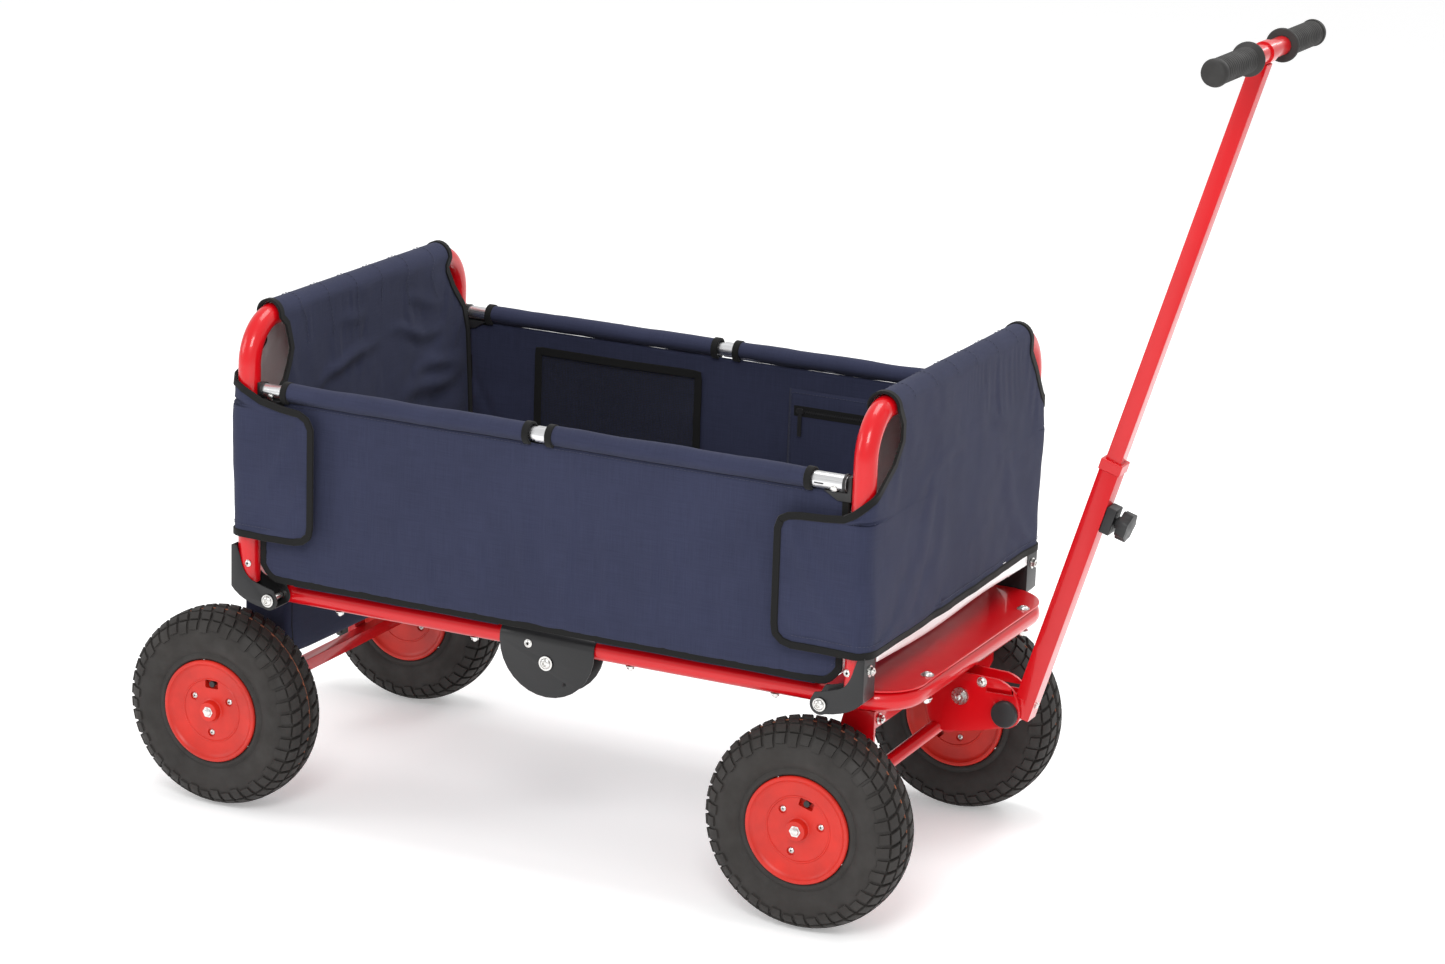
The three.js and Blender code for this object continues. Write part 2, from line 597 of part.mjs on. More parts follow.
// Tube welded under the deck plate, with a pocket at its top for the kingpin's head.
function kingpinHousing() {
  const top = RAIL_TOP;
  const bottom = BEAM_TOP_Z + 2;
  const tube = rodAlong('z', HOUSING_R, bottom, top, KINGPIN_X, 0);
  const flange = rodAlong('z', HOUSING_R + 12, top - 3, top, KINGPIN_X + 8, 0);
  const bore = rodAlong('z', KINGPIN_R + FIT, bottom - 2, top + 2, KINGPIN_X, 0);
  const pocket = rodAlong('z', KINGPIN_HEAD_R + FIT, top - KINGPIN_HEAD_H - FIT, top + 2, KINGPIN_X, 0);
  return cut(join(tube, flange), bore, pocket);
}

function kingpinBolt() {
  const top = RAIL_TOP - GAP;
  const head = RAIL_TOP - KINGPIN_HEAD_H;
  const nut = BEAM_TOP_Z - BEAM_H - GAP;
  return turned([
    [0, nut - 9], [12, nut - 9], [12, nut], [KINGPIN_R, nut], [KINGPIN_R, head],
    [KINGPIN_HEAD_R, head], [KINGPIN_HEAD_R, top], [0, top],
  ], 16).rotateX(Math.PI / 2).translate(KINGPIN_X, 0, 0);
}

// Yoke: a beam under the kingpin, a leg down to the axle at each end, and two cheeks
// reaching forward to the handle's pivot.
function steeringYoke() {
  const beamLow = BEAM_TOP_Z - BEAM_H;
  const bx0 = KINGPIN_X - BEAM_W / 2;
  const bx1 = KINGPIN_X + BEAM_W / 2;
  const beam = block(bx0, bx1, -LEG_Y, LEG_Y, beamLow, BEAM_TOP_Z);
  const legs = SIDES.map(([, side]) => {
    const shape = new THREE.Shape();
    const boss = 16;
    shape.moveTo(bx1, BEAM_TOP_Z);
    shape.lineTo(bx0 - 8, BEAM_TOP_Z);
    shape.lineTo(FRONT_AXLE_X - boss, AXLE_Z + 4);
    shape.absarc(FRONT_AXLE_X, AXLE_Z, boss, Math.PI, Math.PI * 2);
    shape.lineTo(bx1, beamLow - 20);
    shape.closePath();
    return atSide(plateXZ(shape, LEG_Y - LEG_T, LEG_Y), side);
  });
  const braces = SIDES.map(([, side]) => {
    const from = new THREE.Vector3(KINGPIN_X + 26, side * 8, AXLE_Z + 66);
    const to = new THREE.Vector3(FRONT_AXLE_X + 2, side * (LEG_Y - 2), AXLE_Z + 2);
    return bentTube([from, to], BRACE_R, 0, 12);
  });
  const px = HANDLE_PIVOT.x;
  const pz = HANDLE_PIVOT.z;
  const cheekShape = new THREE.Shape();
  cheekShape.moveTo(bx1 - 4, BEAM_TOP_Z - 1);
  cheekShape.lineTo(KINGPIN_X + HOUSING_R + 18, BEAM_TOP_Z - 1);
  cheekShape.lineTo(KINGPIN_X + HOUSING_R + 24, BEAM_TOP_Z + 9);
  cheekShape.lineTo(px - 12, BEAM_TOP_Z + 7);
  cheekShape.quadraticCurveTo(px + 16, BEAM_TOP_Z + 2, px + 19, pz);
  cheekShape.absarc(px, pz, 19, 0, -Math.PI / 2, true);
  cheekShape.quadraticCurveTo(KINGPIN_X + 60, pz - 34, KINGPIN_X + 34, pz - 36);
  cheekShape.quadraticCurveTo(KINGPIN_X + 8, pz - 34, bx1 - 4, beamLow);
  cheekShape.closePath();
  const cheeks = SIDES.map(([, side]) =>
    atSide(plateXZ(cheekShape, YOKE_INNER_Y, YOKE_INNER_Y + YOKE_T), side));
  const outerY = YOKE_INNER_Y + YOKE_T + 2;
  const slot = block(KINGPIN_X + 88, KINGPIN_X + 124, -outerY, outerY, pz + 23, pz + 29);
  const pivotHole = rodAlong('y', PIVOT_PIN_R + FIT, -outerY, outerY, px, pz);
  const kingpinHole = rodAlong('z', KINGPIN_R + FIT, beamLow - 2, BEAM_TOP_Z + 2, KINGPIN_X, 0);
  const axleHole = rodAlong('y', AXLE_R + GAP, -LEG_Y - 5, LEG_Y + 5, FRONT_AXLE_X, AXLE_Z);
  return cut(join(beam, ...legs, ...braces, ...cheeks), slot, pivotHole, kingpinHole, axleHole);
}

// Pivot bolt of the handle with a round cap over each end.
function handlePivot() {
  const face = YOKE_INNER_Y + YOKE_T + GAP;
  const thick = 8;
  return turned([
    [0, -face - thick], [PIVOT_CAP_R - 3, -face - thick], [PIVOT_CAP_R, -face - thick + 3],
    [PIVOT_CAP_R, -face], [PIVOT_PIN_R, -face], [PIVOT_PIN_R, face], [PIVOT_CAP_R, face],
    [PIVOT_CAP_R, face + thick - 3], [PIVOT_CAP_R - 3, face + thick], [0, face + thick],
  ], 16).translate(HANDLE_PIVOT.x, 0, HANDLE_PIVOT.z);
}

add('kingpin_housing', kingpinHousing(), redPaint);
add('kingpin_bolt', kingpinBolt(), steel);
add('steering_yoke', steeringYoke(), redPaint);
add('handle_pivot_bolt', handlePivot(), blackPaint);

// ---------------------------------------------------------------- handle
// Drawn upright with its pivot at the origin and its front facing +X, then tilted.
function onHandle(geometry) {
  return geometry.rotateY(Math.PI / 2 - HANDLE_TILT).translate(HANDLE_PIVOT.x, 0, HANDLE_PIVOT.z);
}

function squareTube(size, wall, s0, s1, solidBelow = s0) {
  const h = size / 2;
  const x = HANDLE_OFFSET;
  return cut(block(x - h, x + h, -h, h, s0, s1),
    block(x - h + wall, x + h - wall, -h + wall, h - wall, solidBelow, s1 + 5));
}

function lowerTube() {
  const tube = squareTube(LOWER_TUBE, LOWER_WALL, 0, LOWER_LENGTH, 26);
  const half = YOKE_INNER_Y - 1.5;
  const foot = join(rodAlong('y', 12, -half, half, 0, 0), block(0, 14, -half, half, -12, 24));
  return cut(join(tube, foot), rodAlong('y', PIVOT_PIN_R + FIT, -half - 2, half + 2, 0, 0));
}

function clampBlock() {
  const face = HANDLE_OFFSET + LOWER_TUBE / 2 + GAP;
  const half = LOWER_TUBE / 2 - 1;
  const body = block(face, face + 13, -half, half, CLAMP_S - 17, CLAMP_S + 17);
  return cut(body, rodAlong('x', 4 + FIT, face - 1, face + 20, 0, CLAMP_S, 16));
}

// Round lobed thumb screw; its screw turns in the clamp block.
function clampKnob() {
  const face = HANDLE_OFFSET + LOWER_TUBE / 2 + 1;
  const start = face + 14;
  const lobes = new THREE.Shape();
  const points = 42;
  const count = 7;
  for (let i = 0; i < points; i += 1) {
    const angle = (i / points) * Math.PI * 2;
    const r = KNOB_R - 1.2 + 1.2 * Math.cos(angle * count);
    lobes[i === 0 ? 'moveTo' : 'lineTo'](r * Math.cos(angle), r * Math.sin(angle));
  }
  lobes.closePath();
  const disc = plateYZ(lobes, start + 5, start + 18).translate(0, 0, CLAMP_S);
  const neck = rodAlong('x', 8, start, start + 6, 0, CLAMP_S);
  const screw = rodAlong('x', 4, face, start + 1, 0, CLAMP_S);
  return join(disc, neck, screw);
}

function upperTube() {
  const low = LOWER_LENGTH - UPPER_OVERLAP;
  return squareTube(UPPER_TUBE, UPPER_WALL, low, CROSSBAR_S - CROSSBAR_R - GAP, low - 1);
}

function crossbar() {
  const end = HANDLE_HALF_WIDTH - 4;
  return cut(rodAlong('y', CROSSBAR_R, -end, end, HANDLE_OFFSET, CROSSBAR_S),
    rodAlong('y', CROSSBAR_R - CROSSBAR_WALL, -end - 1, end + 1, HANDLE_OFFSET, CROSSBAR_S));
}

function grip() {
  const y0 = HANDLE_HALF_WIDTH - GRIP_LENGTH;
  const y1 = HANDLE_HALF_WIDTH;
  const bore = CROSSBAR_R + GAP;
  return turned([
    [bore, y0], [GRIP_R + 5, y0], [GRIP_R + 5, y0 + 4], [GRIP_R, y0 + 7], [GRIP_R, y1 - 3],
    [GRIP_R - 3, y1], [0, y1], [0, y1 - 3.6], [bore, y1 - 3.6], [bore, y0],
  ], 16).translate(HANDLE_OFFSET, 0, CROSSBAR_S);
}

add('handle_lower_tube', onHandle(lowerTube()), redPaint);
add('clamp_block', onHandle(clampBlock()), blackPaint);
add('clamp_knob', onHandle(clampKnob()), blackPaint);
add('handle_upper_tube', onHandle(upperTube()), redPaint);
add('handle_crossbar', onHandle(crossbar()), redPaint);
for (const [name, side] of SIDES) add(`grip_${name}`, onHandle(atSide(grip(), side)), blackRubber);

// ---------------------------------------------------------------- wheels
const WHEEL_SEGMENTS = 24;
function tyre() {
  const w = TYRE_W / 2;
  const bead = RIM_W / 2 - 8;
  const wall = TYRE_WALL;
  const middle = (RIM_R + TYRE_R) / 2;
  return turned([
    [RIM_R + GAP, -bead], [RIM_R + 8, -w + 4], [middle, -w], [TYRE_R - 12, -w + 4],
    [TYRE_R, -w + 18], [TYRE_R, w - 18], [TYRE_R - 12, w - 4], [middle, w],
    [RIM_R + 8, w - 4], [RIM_R + GAP, bead], [RIM_R + GAP, bead - wall],
    [TYRE_R - wall, w - 22], [TYRE_R - wall, -w + 22], [RIM_R + GAP, -bead + wall],
    [RIM_R + GAP, -bead],
  ], WHEEL_SEGMENTS);
}

// Dished rim, its web towards the outer face (+Y) of a left wheel.
function rim() {
  const w = RIM_W / 2;
  const bead = w - 8;
  return turned([
    [AXLE_R + FIT, -w], [HUB_R, -w], [HUB_R, bead - 20], [RIM_R - 8, bead - 16],
    [RIM_R - 8, -bead], [RIM_R, -bead], [RIM_R, bead], [RIM_R - 4, w - 1], [RIM_R - 9, w - 1],
    [RIM_R - 14, bead - 6], [HUB_R, bead - 12], [HUB_R, w], [AXLE_R + FIT, w], [AXLE_R + FIT, -w],
  ], WHEEL_SEGMENTS);
}

for (const [endName, end] of ENDS) {
  for (const [sideName, side] of SIDES) {
    const x = end > 0 ? FRONT_AXLE_X : REAR_AXLE_X;
    const place = [x, side * TRACK / 2, AXLE_Z];
    add(`${endName}_tyre_${sideName}`, atSide(tyre(), side).translate(...place), tyreRubber);
    add(`${endName}_rim_${sideName}`, atSide(rim(), side).translate(...place), redPlastic);
  }
}

// ---------------------------------------------------------------- origin
// The origin goes to the middle of the wagon's footprint, on the ground.
const bounds = new THREE.Box3().setFromObject(wagon);
const centre = bounds.getCenter(new THREE.Vector3());
wagon.position.set(-centre.x, -centre.y, -bounds.min.z);
wagon.updateMatrixWorld(true);

export default wagon;
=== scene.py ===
"""Looks of the folding pull wagon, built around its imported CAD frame.

Lengths are in millimetres with X = 0 at the centre hinge, as in the CAD source; make() turns them
into metres in the frame's own coordinates. "end" is +1 at the front and -1 at the rear, "side" is
+1 on the left (+Y) and -1 on the right.
"""

import math

import bpy
import bmesh
import numpy as np
from mathutils import Matrix, Vector, noise


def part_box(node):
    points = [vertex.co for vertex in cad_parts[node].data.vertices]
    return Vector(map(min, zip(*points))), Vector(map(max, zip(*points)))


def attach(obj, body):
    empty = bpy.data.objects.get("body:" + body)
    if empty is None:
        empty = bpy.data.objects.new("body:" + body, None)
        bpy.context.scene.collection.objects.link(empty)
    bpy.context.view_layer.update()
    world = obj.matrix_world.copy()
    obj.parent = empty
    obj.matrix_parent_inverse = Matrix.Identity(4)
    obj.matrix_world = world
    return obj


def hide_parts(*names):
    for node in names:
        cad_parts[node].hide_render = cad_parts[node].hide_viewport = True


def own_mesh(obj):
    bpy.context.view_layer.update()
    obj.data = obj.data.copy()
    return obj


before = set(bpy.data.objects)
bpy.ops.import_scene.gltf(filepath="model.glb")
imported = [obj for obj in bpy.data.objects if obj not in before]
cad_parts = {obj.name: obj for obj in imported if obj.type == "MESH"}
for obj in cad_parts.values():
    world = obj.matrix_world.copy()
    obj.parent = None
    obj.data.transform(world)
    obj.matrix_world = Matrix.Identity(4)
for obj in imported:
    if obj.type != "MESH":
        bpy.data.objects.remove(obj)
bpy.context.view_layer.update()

# ---------------------------------------------------------------- driving sizes, mm
M = 0.001
_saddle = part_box("hinge_saddle_left")
HINGE_X = (_saddle[0].x + _saddle[1].x) / 2 / M

RAIL_R, RAIL_Y, RAIL_Z = 12.5, 228.0, 290.0
RAIL_TOP = RAIL_Z + RAIL_R
FRAME_END_X, FRAME_CORNER_R = 462.0, 50.0
PLATE_INNER_X, PLATE_T = 372.0, 2.2
HOOP_R, HOOP_X, HOOP_Y, HOOP_TOP_Z, HOOP_BEND_R = 14.0, 418.0, 257.0, 641.0, 56.0
TUBE_WALL = 2.0                   # of the rails and the hoops
HOOP_PIVOT_X, HINGE_PIN_Z = 380.0, 265.5
SADDLE_HALF, SADDLE_END_X = 15.7, 67.0
PLATE_SCREWS_Y, RAIL_SCREWS_X = (-148.0, 160.0), (302.0, 108.0)
ROD_Y, ROD_Z, ROD_END_X = 257.0, 557.0, 398.0
FRONT_ROD_R, REAR_ROD_R, ROD_WALL = 10.0, 8.5, 1.1
RIM_HALF = 37.0
REAR_AXLE_X, FRONT_AXLE_X, AXLE_Z, TRACK = -464.0, 359.0, 130.0, 484.0
KINGPIN_X = 400.0
HANDLE_PIVOT = (515.0, 0.0, 228.0)
HANDLE_TILT = math.radians(73.6)
HANDLE_OFFSET = 16.0              # of the handle's tubes ahead of its pivot
CROSSBAR_S = 876.0                # from the pivot, along the handle

SIDES = (("left", 1), ("right", -1))
ENDS = (("rear", -1), ("front", 1))


# ---------------------------------------------------------------- camera
CAMERA = {"azimuth": 25.4447, "elevation": 15.5618, "roll": 2.0162, "distance": 4816.9,
          "aim": (114.07, 0.0, 455.37), "focal_px": 3855.33, "image_width": 1445}


def add_camera():
    """The camera that matches the reference view."""
    azimuth, elevation, roll = (math.radians(CAMERA[k]) for k in ("azimuth", "elevation", "roll"))
    back = Vector((math.sin(azimuth) * math.cos(elevation),
                   -math.cos(azimuth) * math.cos(elevation), math.sin(elevation)))
    right = (-back).cross(Vector((0, 0, 1))).normalized()
    up = right.cross(-back)
    right, up = right * math.cos(roll) + up * math.sin(roll), up * math.cos(roll) - right * math.sin(roll)
    data = bpy.data.cameras.new("camera")
    data.sensor_width = 36.0
    data.lens = CAMERA["focal_px"] / CAMERA["image_width"] * data.sensor_width
    data.clip_start, data.clip_end = 0.05, 60.0
    camera = bpy.data.objects.new("camera", data)
    aim = (Vector(CAMERA["aim"]) + Vector((HINGE_X, 0, 0))) * M
    rotation = Matrix((right, up, back)).transposed().to_4x4()
    camera.matrix_world = Matrix.Translation(aim + back * CAMERA["distance"] * M) @ rotation
    bpy.context.scene.collection.objects.link(camera)
    bpy.context.scene.camera = camera


# ---------------------------------------------------------------- materials
class Look:
    """A material under construction, with short calls for its nodes."""

    def __init__(self, name, color, roughness, metallic=0.0, **sockets):
        self.material = bpy.data.materials.new(name)
        self.material.use_nodes = True
        self.tree = self.material.node_tree
        self.shader = self.tree.nodes["Principled BSDF"]
        self.color = (*color, 1.0)
        self.set(**{"Base Color": self.color, "Roughness": roughness, "Metallic": metallic})
        self.set(**{key.replace("_", " "): value for key, value in sockets.items()})
        self.material.diffuse_color = self.color

    def set(self, **values):
        for key, value in values.items():
            self.shader.inputs[key].default_value = value

    def node(self, kind, **values):
        node = self.tree.nodes.new(kind)
        for key, value in values.items():
            if key in node.inputs:
                node.inputs[key].default_value = value
            else:
                setattr(node, key, value)
        return node

    def link(self, source, target):
        self.tree.links.new(source, target)

    def coordinates(self, kind="Object", scale=(1, 1, 1)):
        """Texture coordinates in metres, multiplied by scale."""
        mapping = self.node("ShaderNodeMapping")
        mapping.inputs["Scale"].default_value = scale
        self.link(self.node("ShaderNodeTexCoord").outputs[kind], mapping.inputs["Vector"])
        return mapping.outputs["Vector"]

    def noise(self, vector, scale=1.0, detail=3.0, rough=0.55):
        node = self.node("ShaderNodeTexNoise", Scale=scale, Detail=detail, Roughness=rough)
        self.link(vector, node.inputs["Vector"])
        return node.outputs["Fac"]

    def wave(self, vector, direction, scale):
        node = self.node("ShaderNodeTexWave", Scale=scale, bands_direction=direction)
        self.link(vector, node.inputs["Vector"])
        return node.outputs["Fac"]

    def ramp(self, value, low, high, stops=(0.3, 0.7)):
        """value mapped from colour low to colour high between the two stops."""
        node = self.node("ShaderNodeValToRGB")
        for element, stop, color in zip(node.color_ramp.elements, stops, (low, high)):
            element.position = stop
            element.color = (*color, 1.0) if len(color) == 3 else color
        self.link(value, node.inputs["Fac"])
        return node.outputs["Color"]

    def maths(self, operation, a, b):
        node = self.node("ShaderNodeMath", operation=operation)
        for socket, value in zip(node.inputs, (a, b)):
            if isinstance(value, (int, float)):
                socket.default_value = value
            else:
                self.link(value, socket)
        return node.outputs["Value"]

    def mix(self, factor, a, b, blend="MIX"):
        node = self.node("ShaderNodeMix", data_type="RGBA", blend_type=blend)
        for key, value in (("Factor", factor), ("A", a), ("B", b)):
            kind = "VALUE" if key == "Factor" else "RGBA"
            socket = next(s for s in node.inputs if s.name == key and s.type == kind)
            if isinstance(value, (int, float)):
                socket.default_value = value
            elif isinstance(value, tuple):
                socket.default_value = (*value, 1.0)[:4]
            else:
                self.link(value, socket)
        return next(s for s in node.outputs if s.type == "RGBA")

    def base(self, color):
        self.link(color, self.shader.inputs["Base Color"])

    def roughness(self, value, low, high):
        grey = self.ramp(value, (low,) * 3, (high,) * 3)
        self.link(grey, self.shader.inputs["Roughness"])

    def bump(self, height, distance, strength=1.0, normal=None):
        node = self.node("ShaderNodeBump", Strength=strength, Distance=distance)
        self.link(height, node.inputs["Height"])
        if normal is not None:
            self.link(normal, node.inputs["Normal"])
        self.link(node.outputs["Normal"], self.shader.inputs["Normal"])
        return node.outputs["Normal"]


def paint(name, color, roughness=0.3, coat=0.5, peel=0.00008):
    """Powder coat: faint colour drift, orange peel and a clear gloss."""
    look = Look(name, color, roughness, Coat_Weight=coat, Coat_Roughness=0.04)
    look.set(**{"Specular IOR Level": 0.3})
    where = look.coordinates()
    drift = look.noise(where, 9.0, 2.0)
    darker = tuple(c * 0.93 for c in color)
    look.base(look.ramp(drift, darker, color))
    look.roughness(look.noise(where, 30.0, 2.0), roughness * 0.92, roughness * 1.1)
    look.bump(look.noise(where, 420.0, 2.0), peel, 0.15)
    return look.material


def bare_metal(name, color, roughness, streak=(8, 900, 900)):
    """Drawn or plated metal with fine streaks along one axis."""
    look = Look(name, color, roughness, 1.0)
    where = look.coordinates(scale=streak)
    lines = look.noise(where, 1.0, 2.0)
    look.base(look.ramp(lines, tuple(c * 0.9 for c in color), color))
    look.roughness(lines, roughness * 0.8, roughness * 1.3)
    look.bump(lines, 0.00003, 0.4)
    return look.material


def moulded(name, color, roughness, grain=900.0, depth=0.00008, coat=0.0):
    """Moulded plastic or rubber with a fine grain and slight marks of use."""
    look = Look(name, color, roughness, Coat_Weight=coat, Coat_Roughness=0.25)
    where = look.coordinates()
    stain = look.noise(where, 22.0, 4.0)
    look.base(look.ramp(stain, tuple(c * 0.8 for c in color), tuple(min(1, c * 1.12) for c in color)))
    look.roughness(look.noise(where, 45.0, 4.0), roughness * 0.85, min(1.0, roughness * 1.15))
    look.bump(look.noise(where, grain, 2.0), depth, 0.6)
    return look.material


def woven(name, color, pitch=0.9, streaks=0.18, sheen=0.05, metallic=0.0, roughness=0.9):
    """Woven polyester, pitch millimetres between threads; its UV map is in metres."""
    look = Look(name, color, roughness, metallic, Sheen_Weight=sheen, Sheen_Roughness=0.5)
    look.set(**{"Specular IOR Level": 0.15})
    threads = look.coordinates("UV", (1 / M,) * 3)
    band = 0.314 / pitch
    weave = look.maths("MULTIPLY", look.wave(threads, "X", band), look.wave(threads, "Y", band))
    slub_v = look.noise(look.coordinates("UV", (900, 25, 1)), 1.0, 2.0)
    slub_u = look.noise(look.coordinates("UV", (25, 900, 1)), 1.0, 2.0)
    slub = look.maths("ADD", slub_v, slub_u)
    fade = look.noise(look.coordinates("UV", (7, 7, 7)), 1.0, 3.0)
    low = tuple(c * (1 - streaks) for c in color)
    high = tuple(min(1.0, c * (1 + streaks)) for c in color)
    tone = look.ramp(look.maths("MULTIPLY", slub, 0.5), low, high, (0.35, 0.65))
    look.base(look.mix(0.35, tone, look.ramp(fade, low, high, (0.35, 0.65))))
    soft = look.bump(fade, 0.002, 0.35)
    look.bump(weave, 0.00025, 0.5, soft)
    return look.material


def netting(name, color):
    """Open mesh: round holes between threads, see-through by alpha."""
    look = Look(name, color, 0.8)
    cells = look.node("ShaderNodeTexVoronoi", Scale=1.0, Randomness=0.15)
    look.link(look.coordinates("UV", (430, 430, 430)), cells.inputs["Vector"])
    solid = look.maths("GREATER_THAN", cells.outputs["Distance"], 0.47)
    look.link(solid, look.shader.inputs["Alpha"])
    look.material.surface_render_method = "DITHERED"
    return look.material


RED = (0.62, 0.0015, 0.006)
RED_PAINT = paint("red_paint", RED)
BLACK_PAINT = paint("black_paint", (0.018, 0.018, 0.019), 0.42, 0.15)
ALUMINIUM = bare_metal("rod_aluminium", (0.80, 0.80, 0.81), 0.3)
ZINC = bare_metal("zinc_steel", (0.76, 0.75, 0.73), 0.28, (300, 300, 300))
BLACK_PLASTIC = moulded("black_plastic", (0.016, 0.016, 0.017), 0.5)
RED_PLASTIC = moulded("red_plastic", (0.58, 0.014, 0.004), 0.45, 1500.0, 0.00003, 0.05)
TYRE_RUBBER = moulded("tyre_rubber", (0.020, 0.017, 0.015), 0.72, 700.0, 0.0001)
GRIP_RUBBER = moulded("grip_rubber", (0.020, 0.019, 0.018), 0.7, 1200.0, 0.0001)
MARKER = moulded("tread_marker", (0.30, 0.10, 0.05), 0.8)
NAVY = woven("navy_fabric", (0.030, 0.034, 0.067))
NAVY_DARK = woven("floor_fabric", (0.024, 0.028, 0.056))
BINDING = woven("black_binding", (0.010, 0.010, 0.010), 1.6, 0.1, 0.08)
LINING = woven("silver_lining", (0.92, 0.91, 0.91), 0.9, 0.04, 0.1, 0.7, 0.42)
NETTING = netting("mesh_fabric", (0.012, 0.012, 0.013))
THREAD = moulded("thread", (0.045, 0.05, 0.085), 0.8)


# ---------------------------------------------------------------- shapes
# A shape is (vertices, faces), or (vertices, faces, uv) where uv holds one pair in metres a vertex.
def unit(v):
    return v / np.maximum(np.linalg.norm(v, axis=-1, keepdims=True), 1e-9)


def evenly(direction, count):
    """The same direction, count times."""
    return np.tile(direction, (count, 1))


def joined(*shapes):
    verts, faces, base = [], [], 0
    for shape in shapes:
        verts.append(np.asarray(shape[0], float))
        faces += [[i + base for i in face] for face in shape[1]]
        base += len(shape[0])
    return np.vstack(verts), faces


def moved(shape, matrix):
    verts = np.asarray(shape[0], float)
    m = np.array(matrix, float)
    return (verts @ m[:3, :3].T + m[:3, 3], *shape[1:])


def shifted(shape, x=0.0, y=0.0, z=0.0):
    return moved(shape, Matrix.Translation((x, y, z)))


def flipped(shape):
    """The same surface with its faces turned over."""
    return (shape[0], [face[::-1] for face in shape[1]], *shape[2:])


def mirrored(shape, axis):
    """The mirror image across the plane normal to axis 0, 1 or 2, with its faces turned back out."""
    verts = np.array(shape[0], float)
    verts[:, axis] *= -1
    return flipped((verts, *shape[1:]))


def ring(radius, sides):
    angles = np.arange(sides) * 2 * math.pi / sides
    return np.column_stack((radius * np.cos(angles), radius * np.sin(angles)))


def strip(width, thickness):
    """Flat section with rounded edges: width across, thickness along the surface normal."""
    w, t = width / 2, thickness / 2
    flat = w - t * 0.5
    return np.array([(w, 0), (flat, t), (-flat, t), (-w, 0), (-flat, -t), (flat, -t)])


def sweep(path, section, normals=None, loop=False, cap=True):
    """A section carried along a path. normals gives the section's second axis at each point."""
    path = np.asarray(path, float)
    count, k = len(path), len(section)
    if loop:
        before, after = np.roll(path, 1, 0), np.roll(path, -1, 0)
    else:
        before, after = np.vstack((path[:1], path[:-1])), np.vstack((path[1:], path[-1:]))
    tangent = unit(after - before)
    if normals is None:
        seed = np.array((0, 0, 1.0)) if abs(tangent[0][2]) < 0.9 else np.array((1.0, 0, 0))
        normals = [seed - tangent[0] * seed.dot(tangent[0])]
        for t in tangent[1:]:
            normals.append(normals[-1] - t * normals[-1].dot(t))
        normals = unit(np.array(normals))
    side = unit(np.cross(tangent, normals))
    up = unit(np.cross(side, tangent))
    verts = path[:, None] + section[None, :, 0:1] * side[:, None] + section[None, :, 1:2] * up[:, None]
    faces = []
    for i in range(count if loop else count - 1):
        j = (i + 1) % count
        for a in range(k):
            b = (a + 1) % k
            faces.append([i * k + a, i * k + b, j * k + b, j * k + a])
    if cap and not loop:
        faces.append(list(range(k))[::-1])
        faces.append([(count - 1) * k + a for a in range(k)])
    return verts.reshape(-1, 3), faces


def pipe(path, radius, wall, sides=28):
    """An open tube with a wall."""
    verts_out, faces_out = sweep(path, ring(radius, sides), cap=False)
    verts_in, faces_in = sweep(path, ring(radius - wall, sides), cap=False)
    faces_in = [face[::-1] for face in faces_in]
    verts, faces = joined((verts_out, faces_out), (verts_in, faces_in))
    offset, last = len(verts_out), len(verts_out) - sides
    for a in range(sides):
        b = (a + 1) % sides
        faces.append([b, a, offset + a, offset + b])
        faces.append([last + a, last + b, offset + last + b, offset + last + a])
    return verts, faces


def lathe(profile, segments=32):
    """A [radius, height] profile turned about Z. A profile point on the axis becomes a pole."""
    verts, rows = [], []
    for r, h in profile:
        if r < 1e-6:
            rows.append([len(verts)] * segments)
            verts.append((0, 0, h))
            continue
        rows.append(list(range(len(verts), len(verts) + segments)))
        for i in range(segments):
            a = 2 * math.pi * i / segments
            verts.append((r * math.cos(a), r * math.sin(a), h))
    faces = []
    for low, high in zip(rows[:-1], rows[1:]):
        for i in range(segments):
            j = (i + 1) % segments
            face = [low[i], low[j], high[j], high[i]]
            faces.append([v for n, v in enumerate(face) if v not in face[:n]])
    return np.array(verts, float), [f for f in faces if len(f) > 2]


def prism(outline, low, high, plane="xy"):
    """A flat outline given thickness. plane names the outline's two axes."""
    outline = np.asarray(outline, float)
    n = len(outline)
    axes = ["xyz".index(c) for c in plane]
    depth = 3 - sum(axes)
    verts = np.zeros((2 * n, 3))
    for layer, value in enumerate((low, high)):
        part = verts[layer * n:(layer + 1) * n]
        part[:, axes[0]], part[:, axes[1]], part[:, depth] = outline[:, 0], outline[:, 1], value
    faces = [list(range(n))[::-1], list(range(n, 2 * n))]
    faces += [[i, (i + 1) % n, n + (i + 1) % n, n + i] for i in range(n)]
    return verts, faces


def slab(x0, x1, y0, y1, z0, z1):
    return prism([(x0, y0), (x1, y0), (x1, y1), (x0, y1)], z0, z1)


def arc(cx, cy, radius, start, end, count=8):
    """Points of a circular arc; angles in degrees."""
    angles = np.radians(np.linspace(start, end, count))
    return [(cx + radius * math.cos(a), cy + radius * math.sin(a)) for a in angles]


def round_rectangle(x0, x1, y0, y1, r, count=6):
    return (arc(x1 - r, y0 + r, r, -90, 0, count) + arc(x1 - r, y1 - r, r, 0, 90, count)
            + arc(x0 + r, y1 - r, r, 90, 180, count) + arc(x0 + r, y0 + r, r, 180, 270, count))


def sheet_grid(points, uv):
    """An open surface from a (rows, columns, 3) array and its (rows, columns, 2) flat place."""
    rows, columns = points.shape[:2]
    faces = [[i * columns + j, i * columns + j + 1, (i + 1) * columns + j + 1, (i + 1) * columns + j]
             for i in range(rows - 1) for j in range(columns - 1)]
    return points.reshape(-1, 3), faces, np.asarray(uv, float).reshape(-1, 2) * M


